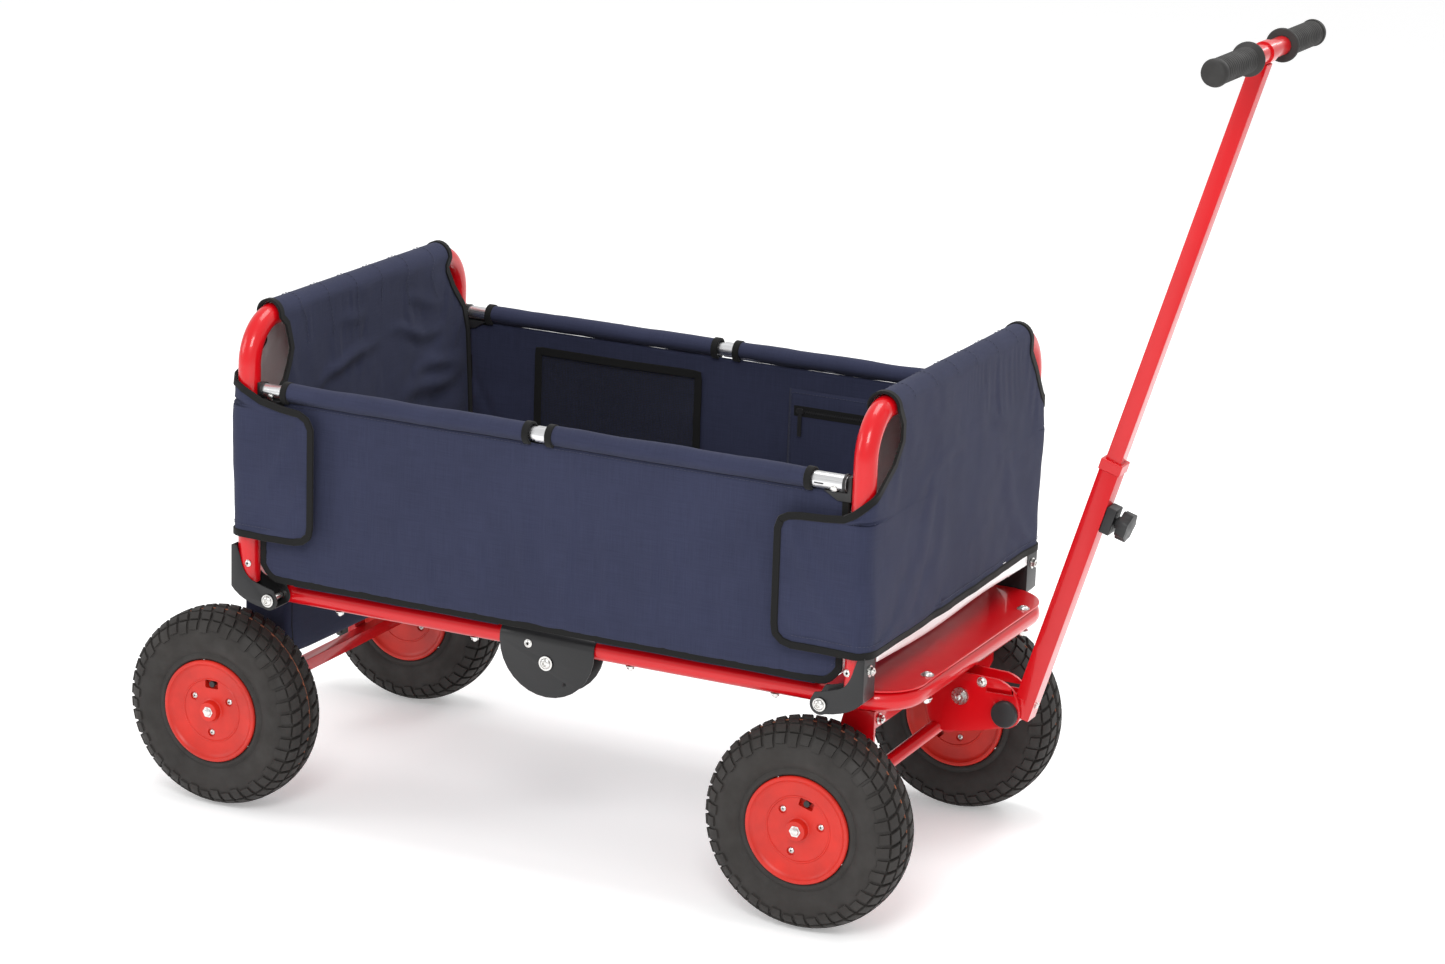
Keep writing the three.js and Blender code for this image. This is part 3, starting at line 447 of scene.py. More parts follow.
def rim_of(points):
    """The outer line of a grid of points, once round from the end of its first row."""
    return np.vstack((points[0, ::-1], points[1:, 0], points[-1, 1:], points[-2:0:-1, -1]))


def mesh_of(name, shape, looks, mend=True):
    """A mesh in the frame's metres; mend turns all its faces outward."""
    verts = (np.asarray(shape[0], float) + (HINGE_X, 0, 0)) * M
    mesh = bpy.data.meshes.new(name)
    mesh.from_pydata(verts.tolist(), [], [list(f) for f in shape[1]])
    if len(shape) > 2:
        layer = mesh.uv_layers.new(name="UVMap")
        loops = np.array([loop.vertex_index for loop in mesh.loops])
        layer.data.foreach_set("uv", shape[2][loops].astype(np.float32).ravel())
    if mend:
        work = bmesh.new()
        work.from_mesh(mesh)
        bmesh.ops.recalc_face_normals(work, faces=work.faces)
        work.to_mesh(mesh)
        work.free()
    for look in looks:
        mesh.materials.append(look)
    return mesh


def make(name, shape, look, body, replaces=(), smooth=35.0, bevel=0.0, segments=2, mend=True):
    """Adds one piece of the object, which rides on a CAD body. look is a material or a list of them."""
    looks = look if isinstance(look, list) else [look]
    piece = bpy.data.objects.new(name, mesh_of(name, shape, looks, mend))
    bpy.context.scene.collection.objects.link(piece)
    piece.data.polygons.foreach_set("use_smooth", [True] * len(piece.data.polygons))
    if bevel:
        soften(piece, bevel, segments, smooth)
    else:
        piece.data.set_sharp_from_angle(angle=math.radians(smooth))
    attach(piece, body)
    if replaces:
        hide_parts(*replaces)
    return piece


def soften(piece, bevel, segments=2, smooth=35.0):
    """Rounds the edges sharper than smooth degrees by bevel millimetres."""
    modifier = piece.modifiers.new("edges", "BEVEL")
    modifier.width, modifier.segments = bevel * M, segments
    modifier.limit_method, modifier.angle_limit = "ANGLE", math.radians(smooth)
    modifier.harden_normals = True


def dress(node, look, bevel):
    """Keeps a CAD node, with cleaned faces, softened edges and a finished material."""
    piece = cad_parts[node]
    piece.data.materials.clear()
    piece.data.materials.append(look)
    piece.data.polygons.foreach_set("use_smooth", [True] * len(piece.data.polygons))
    weld = piece.modifiers.new("weld", "WELD")
    weld.merge_threshold = 0.00001
    flatten = piece.modifiers.new("flatten", "DECIMATE")
    flatten.decimate_type, flatten.angle_limit = "DISSOLVE", math.radians(1.0)
    soften(piece, bevel)


# ---------------------------------------------------------------- fasteners
def facing(at, normal):
    """A matrix that puts a piece made about +Z at a point, facing along normal."""
    turn = Vector((0, 0, 1)).rotation_difference(Vector(normal)).to_matrix().to_4x4()
    return Matrix.Translation(at) @ turn


def turned(profile, at, normal, segments=24):
    """A [radius, height] profile turned about normal, standing at a point."""
    return moved(lathe(profile, segments), facing(at, normal))


def disc(r, h):
    """The profile of a plain disc or shaft."""
    return [(0, 0), (r, 0), (r, h), (0, h)]


def dome_bolt(at, normal, r=6.5, h=3.8):
    """Round-headed bolt with a hexagon socket, on a washer."""
    washer = lathe([(0, 0), (r * 1.25, 0), (r * 1.25, 0.9), (r * 1.15, 1.1), (0, 1.1)], 24)
    head = lathe([(0, 1.1), (r, 1.1), (r, 1.6), (r * 0.93, h * 0.62), (r * 0.7, h * 0.93),
                  (r * 0.45, h), (r * 0.42, h - 0.3), (r * 0.36, h * 0.4), (0, h * 0.4)], 24)
    return moved(joined(washer, head), facing(at, normal))


def hex_nut(at, normal, r=7.5, h=5.5):
    """Hexagon nut with a washer and the bolt's end."""
    washer = lathe(disc(r * 1.3, 1.1), 24)
    nut = prism(ring(r, 6), 1.1, h)
    end = lathe([(0, h), (r * 0.5, h), (r * 0.5, h + 1.6), (r * 0.35, h + 2.2), (0, h + 2.2)], 16)
    return moved(joined(washer, nut, end), facing(at, normal))


def rivet(at, normal, r=3.2, h=1.8):
    return turned([(0, 0), (r, 0), (r * 0.95, h * 0.5), (r * 0.6, h * 0.9), (0, h)], at, normal, 16)


# ---------------------------------------------------------------- frame, hoops and rods
def u_path(length, half, bend, place, steps=14):
    """Fine stations of a U with two round corners; place(along, across) puts them in space."""
    side = [(0.0, half)]
    side += [(length - bend + bend * math.sin(a), half - bend + bend * math.cos(a))
             for a in np.linspace(0, math.pi / 2, steps)]
    side += [(length, across) for across in np.linspace(half - bend, 0, 4)[1:]]
    other = [(along, -across) for along, across in side[-2::-1]]
    return [place(along, across) for along, across in side + other]


def frame_half(end_name, end):
    """One U-shaped frame tube with its deck plate and screws. The rear rails stop in the saddles."""
    body = f"{end_name}_frame"
    start = 2.0 if end > 0 else 14.0
    path = u_path(FRAME_END_X, RAIL_Y, FRAME_CORNER_R, lambda a, c: (end * max(a, start), c, RAIL_Z))
    tube = pipe(path, RAIL_R, TUBE_WALL, 32)
    if end > 0:
        tube = joined(tube, *(lug(side) for _, side in SIDES))
    make(f"{end_name}_frame_weldment", tube, RED_PAINT, body, [f"{end_name}_frame_tube"])
    inset = RAIL_R - 1.2
    edge, half, corner = FRAME_END_X + inset, RAIL_Y + inset, FRAME_CORNER_R + inset
    low = RAIL_TOP + 0.3
    outline = ([(PLATE_INNER_X, -half)] + arc(edge - corner, -half + corner, corner, -90, 0, 14)
               + arc(edge - corner, half - corner, corner, 0, 90, 14) + [(PLATE_INNER_X, half)])
    sheet = prism(outline, low, low + PLATE_T)
    lip = slab(PLATE_INNER_X, PLATE_INNER_X + PLATE_T, -half + 37, half - 37, low - 11.7, low)
    plate = joined(sheet, lip)
    screws = []
    down, up = (0, 0, -1), (0, 0, 1)
    for y in PLATE_SCREWS_Y:
        top = (end * (FRAME_END_X + 1), y, low + PLATE_T)
        screws += [dome_bolt(top, up), hex_nut((top[0], y, RAIL_Z - RAIL_R), down, 6)]
    for x in RAIL_SCREWS_X:
        for _, side in SIDES:
            at = (end * x, side * RAIL_Y, RAIL_TOP)
            screws += [rivet(at, up, 5.0, 2.6), hex_nut((*at[:2], RAIL_Z - RAIL_R), down, 4.6, 4.2)]
    if end < 0:
        plate = mirrored(plate, 0)
    make(f"{end_name}_plate", plate, RED_PAINT, body, [f"{end_name}_deck_plate"], bevel=0.7)
    make(f"{end_name}_frame_screws", joined(*screws), ZINC, body)


def lug(side):
    """The welded lug under a front rail, round about the hinge pin."""
    half, r, reach = RAIL_R - 1, 11.0, 48.0
    outline = (arc(0, HINGE_PIN_Z, r, 90, 270, 14) + [(reach, HINGE_PIN_Z - r), (reach, RAIL_Z - 7)]
               + [(2, RAIL_Z - 7)])
    return prism(outline, side * RAIL_Y - half, side * RAIL_Y + half, "xz")


def hinge(side_name, side):
    """The saddle over a rail with its pin's head and nut and its small fixing bolt."""
    dress(f"hinge_saddle_{side_name}", BLACK_PAINT, 0.9)
    at, out = (0, side * (RAIL_Y + SADDLE_HALF), HINGE_PIN_Z), (0, side, 0)
    washer = turned(disc(9.2, 1.2), at, out, 28)
    head = dome_bolt(at, out, 7.0, 4.2)
    small = dome_bolt((-25, side * (RAIL_Y + SADDLE_HALF - 0.5), 287), out, 4.2, 2.6)
    inner = hex_nut((0, side * (RAIL_Y - SADDLE_HALF), HINGE_PIN_Z), (0, -side, 0), 6.5)
    make(f"hinge_bolts_{side_name}", joined(washer, head, small, inner), ZINC, "rear_frame",
         [f"hinge_bolt_{side_name}"])


def hoop(end_name, end):
    """One hoop with its corner brackets, their screws and the pivots they turn on."""
    body = f"{end_name}_hoop"
    foot = RAIL_TOP + 5
    path = u_path(HOOP_TOP_Z - foot, HOOP_Y, HOOP_BEND_R, lambda a, c: (end * HOOP_X, c, foot + a))
    make(f"{end_name}_hoop_tube", pipe(path, HOOP_R, TUBE_WALL, 36), RED_PAINT, body,
         [f"{end_name}_hoop"])
    screws = []
    for side_name, side in SIDES:
        dress(f"{end_name}_hoop_bracket_{side_name}", BLACK_PAINT, 0.8)
        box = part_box(f"{end_name}_hoop_bracket_{side_name}")
        face = (box[1].x if end > 0 else box[0].x) / M - HINGE_X
        out = (0, side, 0)
        screws.append(hex_nut((face, side * HOOP_Y, 336), (end, 0, 0), 5.5, 5.0))
        screws.append(dome_bolt((end * (HOOP_X - 6), side * (HOOP_Y + 12.4), 333), out, 3.6, 2.4))
        x, inner, outer = end * HOOP_PIVOT_X, side * (RAIL_Y - RAIL_R), side * 274.5
        pivot = [dome_bolt((x, outer, RAIL_Z), out, 6.6, 4.4),
                 hex_nut((x, inner - side * 0.4, RAIL_Z), (0, -side, 0), 6.5),
                 turned(disc(4, 59), (x, inner, RAIL_Z), out, 16)]
        make(f"{end_name}_hoop_pivot_{side_name}", joined(*pivot), ZINC, f"{end_name}_frame",
             [f"{end_name}_hoop_bolt_{side_name}"])
    make(f"{end_name}_hoop_screws", joined(*screws), ZINC, body)


def rods(side_name, side):
    """The two tubes that slide in each other on one side, with their end fittings and rivets."""
    y = side * ROD_Y
    rear = pipe([(x, y, ROD_Z) for x in np.linspace(-ROD_END_X, 60, 6)], REAR_ROD_R, ROD_WALL)
    front = pipe([(x, y, ROD_Z) for x in np.linspace(-10, ROD_END_X, 6)], FRONT_ROD_R, ROD_WALL)
    for (end_name, end), tube, radius in zip(ENDS, (rear, front), (REAR_ROD_R, FRONT_ROD_R)):
        body = f"{end_name}_hoop"
        make(f"{end_name}_rod_tube_{side_name}", tube, ALUMINIUM, body,
             [f"{end_name}_rod_{side_name}"])
        dress(f"{end_name}_rod_clevis_{side_name}", BLACK_PLASTIC, 0.7)
        inside, outside = radius + 0.1, radius + 1.6
        collar = turned([(inside, 0), (outside, 0), (outside, 3.2), (inside, 3.2), (inside, 0)],
                        (end * (ROD_END_X - 4), y, ROD_Z), (end, 0, 0), 28)
        mark = slab(end * 364 - 6, end * 364 + 6, y + side * (radius - 0.7), y + side * (radius + 0.25),
                    ROD_Z - 2.6, ROD_Z - 0.8)
        make(f"{end_name}_rod_collar_{side_name}", joined(collar, mark), BLACK_PLASTIC, body,
             bevel=0.3)
        pin = rivet((end * 383, y + side * (radius - 1.5), ROD_Z - 6.5), (0, side, -0.35), 4.4, 2.2)
        make(f"{end_name}_rod_rivet_{side_name}", pin, ZINC, body)


# ---------------------------------------------------------------- fabric
def ripple(points, size, depth, seed, normal):
    """Small smooth folds: points moved along normal by layered noise."""
    flat = points.reshape(-1, 3)
    amount = np.array([noise.fractal(Vector(p) / size + Vector((seed, 0, 0)), 0.9, 2.1, 3) for p in flat])
    return (flat + amount[:, None] * depth * np.asarray(normal, float).reshape(-1, 3)).reshape(points.shape)


def sew(name, shape, body, replaces=(), looks=(NAVY, NAVY), thickness=1.5, pins=None, growth=0.0,
        outward=None, cap=2.0):
    """A cloth piece: relaxed by simulation where pins says which vertices stay, then given thickness."""
    piece = make(name, shape, list(looks), body, replaces, smooth=80, mend=False)
    if pins is not None:
        relax_cloth(piece, pins, growth, outward, cap)
    solid = piece.modifiers.new("cloth", "SOLIDIFY")
    solid.thickness, solid.offset = thickness * M, -1.0
    solid.material_offset = 1         # its back takes the second look
    return piece


def relax_cloth(piece, pins, growth, outward, cap, frames=22, inward=0.5):
    """Lets the cloth find its folds: it grows by a share between its pinned edges, and hangs.

    No place moves more than cap millimetres, or more than inward millimetres against its outward
    normal.
    """
    scene = bpy.context.scene
    rest = np.array([v.co for v in piece.data.vertices], float)
    group = piece.vertex_groups.new(name="pins")
    group.add([int(i) for i in np.flatnonzero(pins)], 1.0, "REPLACE")
    cloth = piece.modifiers.new("relax", "CLOTH")
    settings = cloth.settings
    settings.quality, settings.mass = 5, 0.25
    settings.tension_stiffness = settings.compression_stiffness = 18.0
    settings.shear_stiffness, settings.bending_stiffness = 6.0, 0.35
    settings.air_damping = 3.0
    settings.vertex_group_mass = "pins"
    settings.shrink_min = -growth
    cloth.collision_settings.use_collision = False
    cloth.point_cache.frame_start, cloth.point_cache.frame_end = 1, frames
    for step in range(1, frames + 1):
        scene.frame_set(step)
    evaluated = piece.evaluated_get(bpy.context.evaluated_depsgraph_get())
    found = np.array([v.co for v in evaluated.data.vertices], float)
    piece.modifiers.remove(cloth)
    scene.frame_set(1)
    shift = found - rest
    length = np.linalg.norm(shift, axis=1, keepdims=True)
    shift *= cap * M / np.sqrt((cap * M) ** 2 + length ** 2)
    sunk = np.minimum(0.0, (shift * outward).sum(1, keepdims=True) + inward * M)
    shift -= sunk * outward
    piece.data.vertices.foreach_set("co", (rest + shift).astype(np.float32).ravel())
    piece.data.update()


def edge_tape(name, runs, body, width, thickness):
    """Black binding folded over cloth edges. Each run is (points, normals, is a loop)."""
    shapes = [sweep(points, strip(width, thickness), normals, loop) for points, normals, loop in runs]
    return make(name, joined(*shapes), BINDING, body, smooth=50)


def stitches(path, normals, length=3.2, gap=1.6, r=0.35, lift=0.9):
    """A run of short threads lying on the cloth along a path."""
    path, normals = np.asarray(path, float), np.asarray(normals, float)
    steps = np.linalg.norm(np.diff(path, axis=0), axis=1)
    along = np.concatenate(([0.0], np.cumsum(steps)))
    shapes = []

    def at(rows, s):
        return np.array([np.interp(s, along, rows[:, k]) for k in range(3)])

    for start in np.arange(0.0, along[-1] - length, length + gap):
        ends = [at(path, s) for s in (start, start + length)]
        up = unit(at(normals, start))
        shapes.append(sweep([e + up * lift for e in ends], ring(r, 5)))
    return shapes


PANEL_HALF, PANEL_LOW, PANEL_TOP = 396.0, 315.0, 545.0
PANEL_CORNER, PANEL_CORNER_RISE = 22.0, 26.0
SLEEVE_R = 12.6
SLEEVE_SPANS = ((-362.0, -22.0), (9.0, 350.0))


def panel_point(x, down, side):
    """A place on the outer cloth of a side panel: down is measured from the sleeve's seam."""
    bow = 3.0 * math.sin(math.pi * min(1.0, down / 235.0)) * math.cos(x / PANEL_HALF * math.pi / 2)
    return x, side * (ROD_Y + 1.5 + bow), PANEL_TOP - down


def side_panel(side_name, side):
    """One side: sleeves over the rods, the hanging panel, its binding and stitching."""
    xs = np.linspace(-PANEL_HALF, PANEL_HALF, 133)
    downs = np.linspace(0.0, PANEL_TOP - PANEL_LOW, 42)
    points = np.array([[panel_point(x, d, side) for x in xs] for d in downs])
    corner = (np.abs(xs)[None, :] - PANEL_HALF) / PANEL_CORNER + 1
    rise = np.clip(corner, 0, 1) * np.clip((downs[:, None] - 190) / 48, 0, 1)
    points[:, :, 2] += rise ** 2 * PANEL_CORNER_RISE
    out = (0.0, side, 0.0)
    fold = np.sin(np.pi * downs / downs[-1])[:, None, None]
    points = ripple(points, 95.0, 2.4, 3 + side, np.full(points.shape, out) * fold)
    flat = np.array([[(x, -d) for x in xs] for d in downs])
    edge = np.zeros(points.shape[:2], bool)
    edge[0, :] = edge[-1, :] = edge[:, 0] = edge[:, -1] = True
    parts = [sheet_grid(points, flat)] + [sleeve(x0, x1, side) for x0, x1 in SLEEVE_SPANS]
    shape = (*joined(*(part[:2] for part in parts)), np.vstack([part[2] for part in parts]))
    if side < 0:
        shape = flipped(shape)
    pins = np.ones(len(shape[0]), bool)
    pins[:edge.size] = edge.ravel()
    nodes = [f"side_panel_{end_name}_{side_name}" for end_name, _ in ENDS]
    cloth = sew(f"side_panel_{side_name}", shape, "rear_hoop", nodes, pins=pins, growth=0.010,
                outward=evenly(out, len(shape[0])), cap=3.0)
    bound = rim_of(points)[len(xs) - 6:]        # the top edge is sewn to the sleeves, so it stays bare
    runs = [(bound, evenly(out, len(bound)), False)]
    for x0, x1 in SLEEVE_SPANS:
        for x in (x0, x1):
            turn = np.array([(x, side * ROD_Y + SLEEVE_R * math.cos(a), ROD_Z + SLEEVE_R * math.sin(a))
                             for a in np.radians(np.linspace(-70, 250, 26))])
            runs.append((turn, unit(turn - np.array((x, side * ROD_Y, ROD_Z))), False))
    tape = edge_tape(f"side_panel_binding_{side_name}", runs, "rear_hoop", 9.5, 3.2)
    seams = []
    for x0, x1 in SLEEVE_SPANS:
        row = [panel_point(x, 3.0, side) for x in np.linspace(x0, x1, 40)]
        seams += stitches(row, evenly(out, 40))
    seams += stitches(points[-1] + (0, 0, 14.0), evenly(out, len(xs)))
    thread = make(f"side_panel_stitching_{side_name}", joined(*seams), THREAD, "rear_hoop")
    for piece in (cloth, tape, thread):         # each piece gets a mesh of its own; they ride on the rear hoop, towards which the real panel gathers as the wagon folds
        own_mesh(piece)


def sleeve(x0, x1, side):
    """Cloth wrapped over a rod, both edges meeting in the seam below it."""
    xs = np.linspace(x0, x1, 58)
    angles = np.radians(np.linspace(-62, 242, 30))
    rows = []
    for a in angles:
        tuck = max(0.0, -math.sin(a)) ** 2
        y = side * (ROD_Y + SLEEVE_R * math.cos(a) * (1 - 0.75 * tuck) + tuck)
        z = ROD_Z + SLEEVE_R * math.sin(a)
        rows.append([(x, y, z + 0.35 * math.sin(x / 21.0) * (1 - tuck)) for x in xs])
    points = np.array(rows)
    normal = (points - (0, side * ROD_Y, ROD_Z)) * (0, 1, 1)
    points = ripple(points, 60.0, 0.8, 11 + side, unit(normal))
    flat = np.array([[(x, SLEEVE_R * a) for x in xs] for a in angles])
    return flipped(sheet_grid(points, flat))


# Hood cloth: (height, half width) on the outer face and, past the ridge, on the inner face, for
# each end and side. Widths beyond HOOP_Y wrap round the leg and run back as a flap.
HOOD_R = 18.5                     # of the cloth round the hoop's tube
HOOD_X, HOOD_IN_X, HOOD_FOOT_X = HOOP_X + HOOD_R, HOOP_X - HOOD_R, 381.0
HOOD_FOOT_Z = 316.0
HOOD_SLOPE_HEIGHT = 335.0         # height over which the inner face runs from HOOD_IN_X to HOOD_FOOT_X
HOOD_HALF = 206.0                 # half width along the ridge
HOOD_LOW = {1: 357.0, -1: 373.0}
FLAP_FRONT = ((357, 363), (360, 375), (368, 384), (380, 386), (496, 386), (508, 382), (513, 372), (515, 358),
              (516.5, 325))
FLAP_REAR = ((373, 363), (376, 375), (384, 384), (396, 386), (520, 386), (532, 380), (538, 369), (541, 343),
             (547, 314), (558, 291))
HOOD_OUTER = {
    (1, -1): FLAP_FRONT + ((519, 302), (527, 288), (540, 272), (556, 246), (575, 214), (600, 194),
                           (622, 194), (641, 206)),
    (1, 1): FLAP_FRONT + ((520, 302), (530, 285), (545, 268), (560, 252), (578, 240), (602, 224),
                          (624, 206), (641, 206)),
    (-1, -1): FLAP_REAR + ((566, 272), (574, 250), (586, 214), (602, 194), (622, 194), (641, 206)),
    (-1, 1): FLAP_REAR + ((566, 272), (576, 254), (590, 238), (606, 222), (624, 206), (641, 206)),
}
HOOD_INNER = {
    -1: ((641, 212), (630, 200), (598, 192), (580, 199), (560, 211), (545, 232), (528, 243), (306, 243)),
    1: ((641, 206), (628, 196), (601, 211), (569, 238), (536, 247), (306, 246)),
}

# Creases in the hoods' inner faces: two ends in Y and Z, width and height.
CREASES = ((-97, 543, 33, 573, 9, 5), (33, 572, 193, 545, 8, 4.5), (73, 475, 243, 489, 12, 6),
           (-137, 532, -37, 559, 8, 4), (103, 503, 233, 507, 9, 5), (-190, 470, -60, 430, 14, 5),
           (20, 420, 150, 452, 12, 5), (-120, 600, 20, 612, 10, 2.5), (60, 606, 190, 588, 9, 2.5))


def crease_height(y, z):
    """How far the cloth stands out at a place because of the creases."""
    total = 0.0
    for y0, z0, y1, z1, width, height in CREASES:
        dy, dz = y1 - y0, z1 - z0
        length = math.hypot(dy, dz)
        along = ((y - y0) * dy + (z - z0) * dz) / length
        off = ((y - y0) * dz - (z - z0) * dy) / length + 5 * math.sin(along / 23.0)
        fade = max(0.0, 1 - abs(along / length - 0.5) * 2) ** 0.6 if 0 < along < length else 0.0
        ridge = math.exp(-(off / width) ** 2)
        valley = math.exp(-((off - 1.7 * width) / width) ** 2)
        total += height * fade * (ridge - 0.5 * valley)
    return total


def hood_place(part, level, s, end):
    """A place on the hood's cloth and its outward normal, s millimetres across from the middle.

    part is out, top or in: the outer face, which wraps round the leg and runs back along the side,
    the ridge, where level is the angle over the hoop's top bar, and the inner face.
    """
    if part == "top":
        c, sn = math.cos(level), math.sin(level)
        return (end * (HOOP_X + HOOD_R * c), s, HOOP_TOP_Z + HOOD_R * sn), (end * c, 0.0, sn)
    if part == "in":
        t = (HOOP_TOP_Z - level) / HOOD_SLOPE_HEIGHT
        return (end * (HOOD_IN_X + (HOOD_FOOT_X - HOOD_IN_X) * t), s, level), (-end, 0.0, 0.0)
    past, sign = abs(s) - HOOP_Y, math.copysign(1.0, s)
    if past <= 0:
        return (end * HOOD_X, s, level), (end, 0.0, 0.0)
    if past <= HOOD_R * math.pi / 2:
        c, sn = math.cos(past / HOOD_R), math.sin(past / HOOD_R)
        return (end * (HOOP_X + HOOD_R * c), sign * (HOOP_Y + HOOD_R * sn), level), (end * c, sign * sn, 0.0)
    return (end * (HOOP_X - past + HOOD_R * math.pi / 2), sign * (HOOP_Y + HOOD_R), level), (0.0, sign, 0.0)


def widths_at(tables, level):
    """The half width on each side at a height, between the rows of the side's table."""
    return {side: float(np.interp(level, *zip(*sorted(table)))) for side, table in tables.items()}


def hood_rows(end):
    """Stations of the hood's cloth: (part, height or angle, half width a side, length along it)."""
    rows, run = [], 0.0
    outer = {side: HOOD_OUTER[end, side] for _, side in SIDES}
    previous = low = HOOD_LOW[end]
    heights = set(np.arange(low, HOOP_TOP_Z, 6.0)) | {h for table in outer.values() for h, _ in table}
    for z in sorted(heights):
        run += z - previous
        previous = z
        rows.append(("out", z, widths_at(outer, z), run))
    for a in np.linspace(0, math.pi, 13)[1:-1]:
        rows.append(("top", a, {-1: HOOD_HALF + 6 * a / math.pi, 1: HOOD_HALF}, run + HOOD_R * a))
    run += HOOD_R * math.pi
    for z in np.linspace(HOOP_TOP_Z, HOOD_FOOT_Z, 61):
        rows.append(("in", z, widths_at(HOOD_INNER, z), run + HOOP_TOP_Z - z))
    return rows


def hood(end_name, end):
    """One end's cloth over its hoop, with side flaps, binding, stitched channels and lining."""
    body = f"{end_name}_hoop"
    shares = np.linspace(-1, 1, 121)
    points, normals, flat, rows = [], [], [], hood_rows(end)
    for part, level, widths, run in rows:
        across = [share * widths[1 if share > 0 else -1] for share in shares]
        placed = [hood_place(part, level, s, end) for s in across]
        points.append([point for point, _ in placed])
        normals.append([normal for _, normal in placed])
        flat.append([(s, run) for s in across])
    points, normals = np.array(points), np.array(normals)
    ridge = np.array([part == "top" for part, *_ in rows])
    inner = np.array([part == "in" for part, *_ in rows])[:, None]
    free = np.where(ridge[:, None], 0.0, 1 - shares[None, :] ** 2)
    hang = free * np.clip((HOOP_TOP_Z - points[:, :, 2]) / 120, 0, 1)
    lift = hang * np.where(inner, -5.0, 3.0)
    crease = np.array([[crease_height(y, z) for _, y, z in line] for line in points])
    lift = lift + np.where(inner, crease, 0.25 * crease) * np.clip(free * 5, 0, 1)
    points = points + normals * lift[:, :, None]
    loose = np.clip(free * 4 + 0.1, 0, 1)[:, :, None]
    points = ripple(points, 110.0, 3.2, 20 + end, normals * loose)
    shape = sheet_grid(points, np.array(flat))
    pins = np.zeros(points.shape[:2], bool)
    pins[:2, :] = pins[-1:, :] = pins[:, :2] = pins[:, -2:] = True
    pins[ridge, :] = True
    cloth = sew(f"{end_name}_hood_cloth", flipped(shape) if end < 0 else shape, body, [f"{end_name}_hood"],
                (NAVY, LINING), 1.6, pins=pins.ravel(), growth=0.006, outward=normals.reshape(-1, 3))
    runs = [(points[:, 0], normals[:, 0], False), (points[:, -1], normals[:, -1], False),
            (points[0], normals[0], False)]
    tape = edge_tape(f"{end_name}_hood_binding", runs, body, 9.5, 3.6)
    hem = lining_hem(end_name, end)
    seams = stitches(points[0] + (0, 0, 12.0), normals[0])
    top = [i for i, (part, level, *_) in enumerate(rows) if part == "top" or (part == "in" and level > 590)]
    for share in (-0.78, -0.46, -0.15, 0.15, 0.46, 0.78):
        k = int(np.argmin(abs(shares - share)))
        seams += stitches(points[top, k], normals[top, k], 3.0, 2.4, 0.45)
    thread = make(f"{end_name}_hood_stitching", joined(*seams), THREAD, body)


def lining_hem(end_name, end):
    """The pale lining that shows below the hood's bottom binding."""
    low, half = HOOD_LOW[end], 238.0
    shares = np.linspace(-1, 1, 61)
    heights = np.linspace(low + 5, low - 17, 6)
    points = np.array([[(end * (HOOD_X - 2.6 + 2.4 * (1 - s * s)), s * half, z + 2.0 * math.sin(4.2 * s))
                        for s in shares] for z in heights])
    flat = np.array([[(s * half, z) for s in shares] for z in heights])
    piece = make(f"{end_name}_hood_lining_hem", sheet_grid(points, flat), LINING, f"{end_name}_hoop",
                 mend=False)
    solid = piece.modifiers.new("cloth", "SOLIDIFY")
    solid.thickness = 1.0 * M
    return piece


def floor_half(end_name, end):
    """Fabric-covered floor board, narrower between the hinge saddles, with a stitched edge."""
    x0, x1 = 3.0, PLATE_INNER_X - 2
    inner_half, outer_half, shoulder = RAIL_Y - 23, 233.0, SADDLE_END_X
    low, high = RAIL_TOP + 0.4, RAIL_TOP + 5.0
    outline = [(x0, -inner_half), (shoulder, -inner_half), (shoulder, -outer_half)]
    outline += arc(x1 - 8, -outer_half + 8, 8, -90, 0, 5) + arc(x1 - 8, outer_half - 8, 8, 0, 90, 5)
    outline += [(shoulder, outer_half), (shoulder, inner_half), (x0, inner_half)]
    board = prism(outline, low, high)
    if end < 0:
        board = mirrored(board, 0)
    board = (*board, np.asarray(board[0])[:, :2] * M)
    make(f"{end_name}_floor_board", board, NAVY_DARK, f"{end_name}_frame",
         [f"{end_name}_floor"], bevel=1.6, segments=3)
    path = np.array([(end * x, y, high + 0.2) for x, y in outline])
    rim = np.array([(x - end * 5 * math.copysign(1, end * x - 190), y - 5 * math.copysign(1, y), z)
                    for x, y, z in path])
    seam = joined(*stitches(rim, evenly((0.0, 0.0, 1.0), len(rim)), 3.4, 1.8, 0.35, 0.2))
    make(f"{end_name}_floor_stitching", seam, THREAD, f"{end_name}_frame")


def floor_welts(end_name, end):
    """Soft strips along the floor's long edges that close it towards the side panels."""
    section = ((227.0, 309.0), (234.0, 308.9), (240.0, 307.4), (245.0, 305.2))
    xs = np.linspace(SADDLE_END_X, 360.0, 60)
    for side_name, side in SIDES:
        points = np.array([[(end * x, side * y, z + 0.3 * math.sin(x / 19.0)) for x in xs]
                           for y, z in section])
        flat = np.array([[(x, y) for x in xs] for y, _ in section])
        shape = sheet_grid(points, flat)
        if end * side < 0:
            shape = flipped(shape)
        welt = sew(f"{end_name}_floor_welt_{side_name}", shape, f"{end_name}_frame",
                   looks=(NAVY_DARK, NAVY_DARK), thickness=1.2)


def floor_hinge_lip():
    """Cloth lip that covers the slit between the two floor boards; it is sewn to the rear one."""
    xs, ys = np.linspace(-16.0, 16.0, 9), np.linspace(-203.0, 203.0, 42)
    points = np.array([[(x, y, 309.0 + 0.5 * math.cos(x / 10.0)) for x in xs] for y in ys])
    flat = np.array([[(x, y) for x in xs] for y in ys])
    lip = sew("floor_hinge_lip", sheet_grid(points, flat), "rear_frame", looks=(NAVY_DARK, NAVY_DARK),
              thickness=1.2)


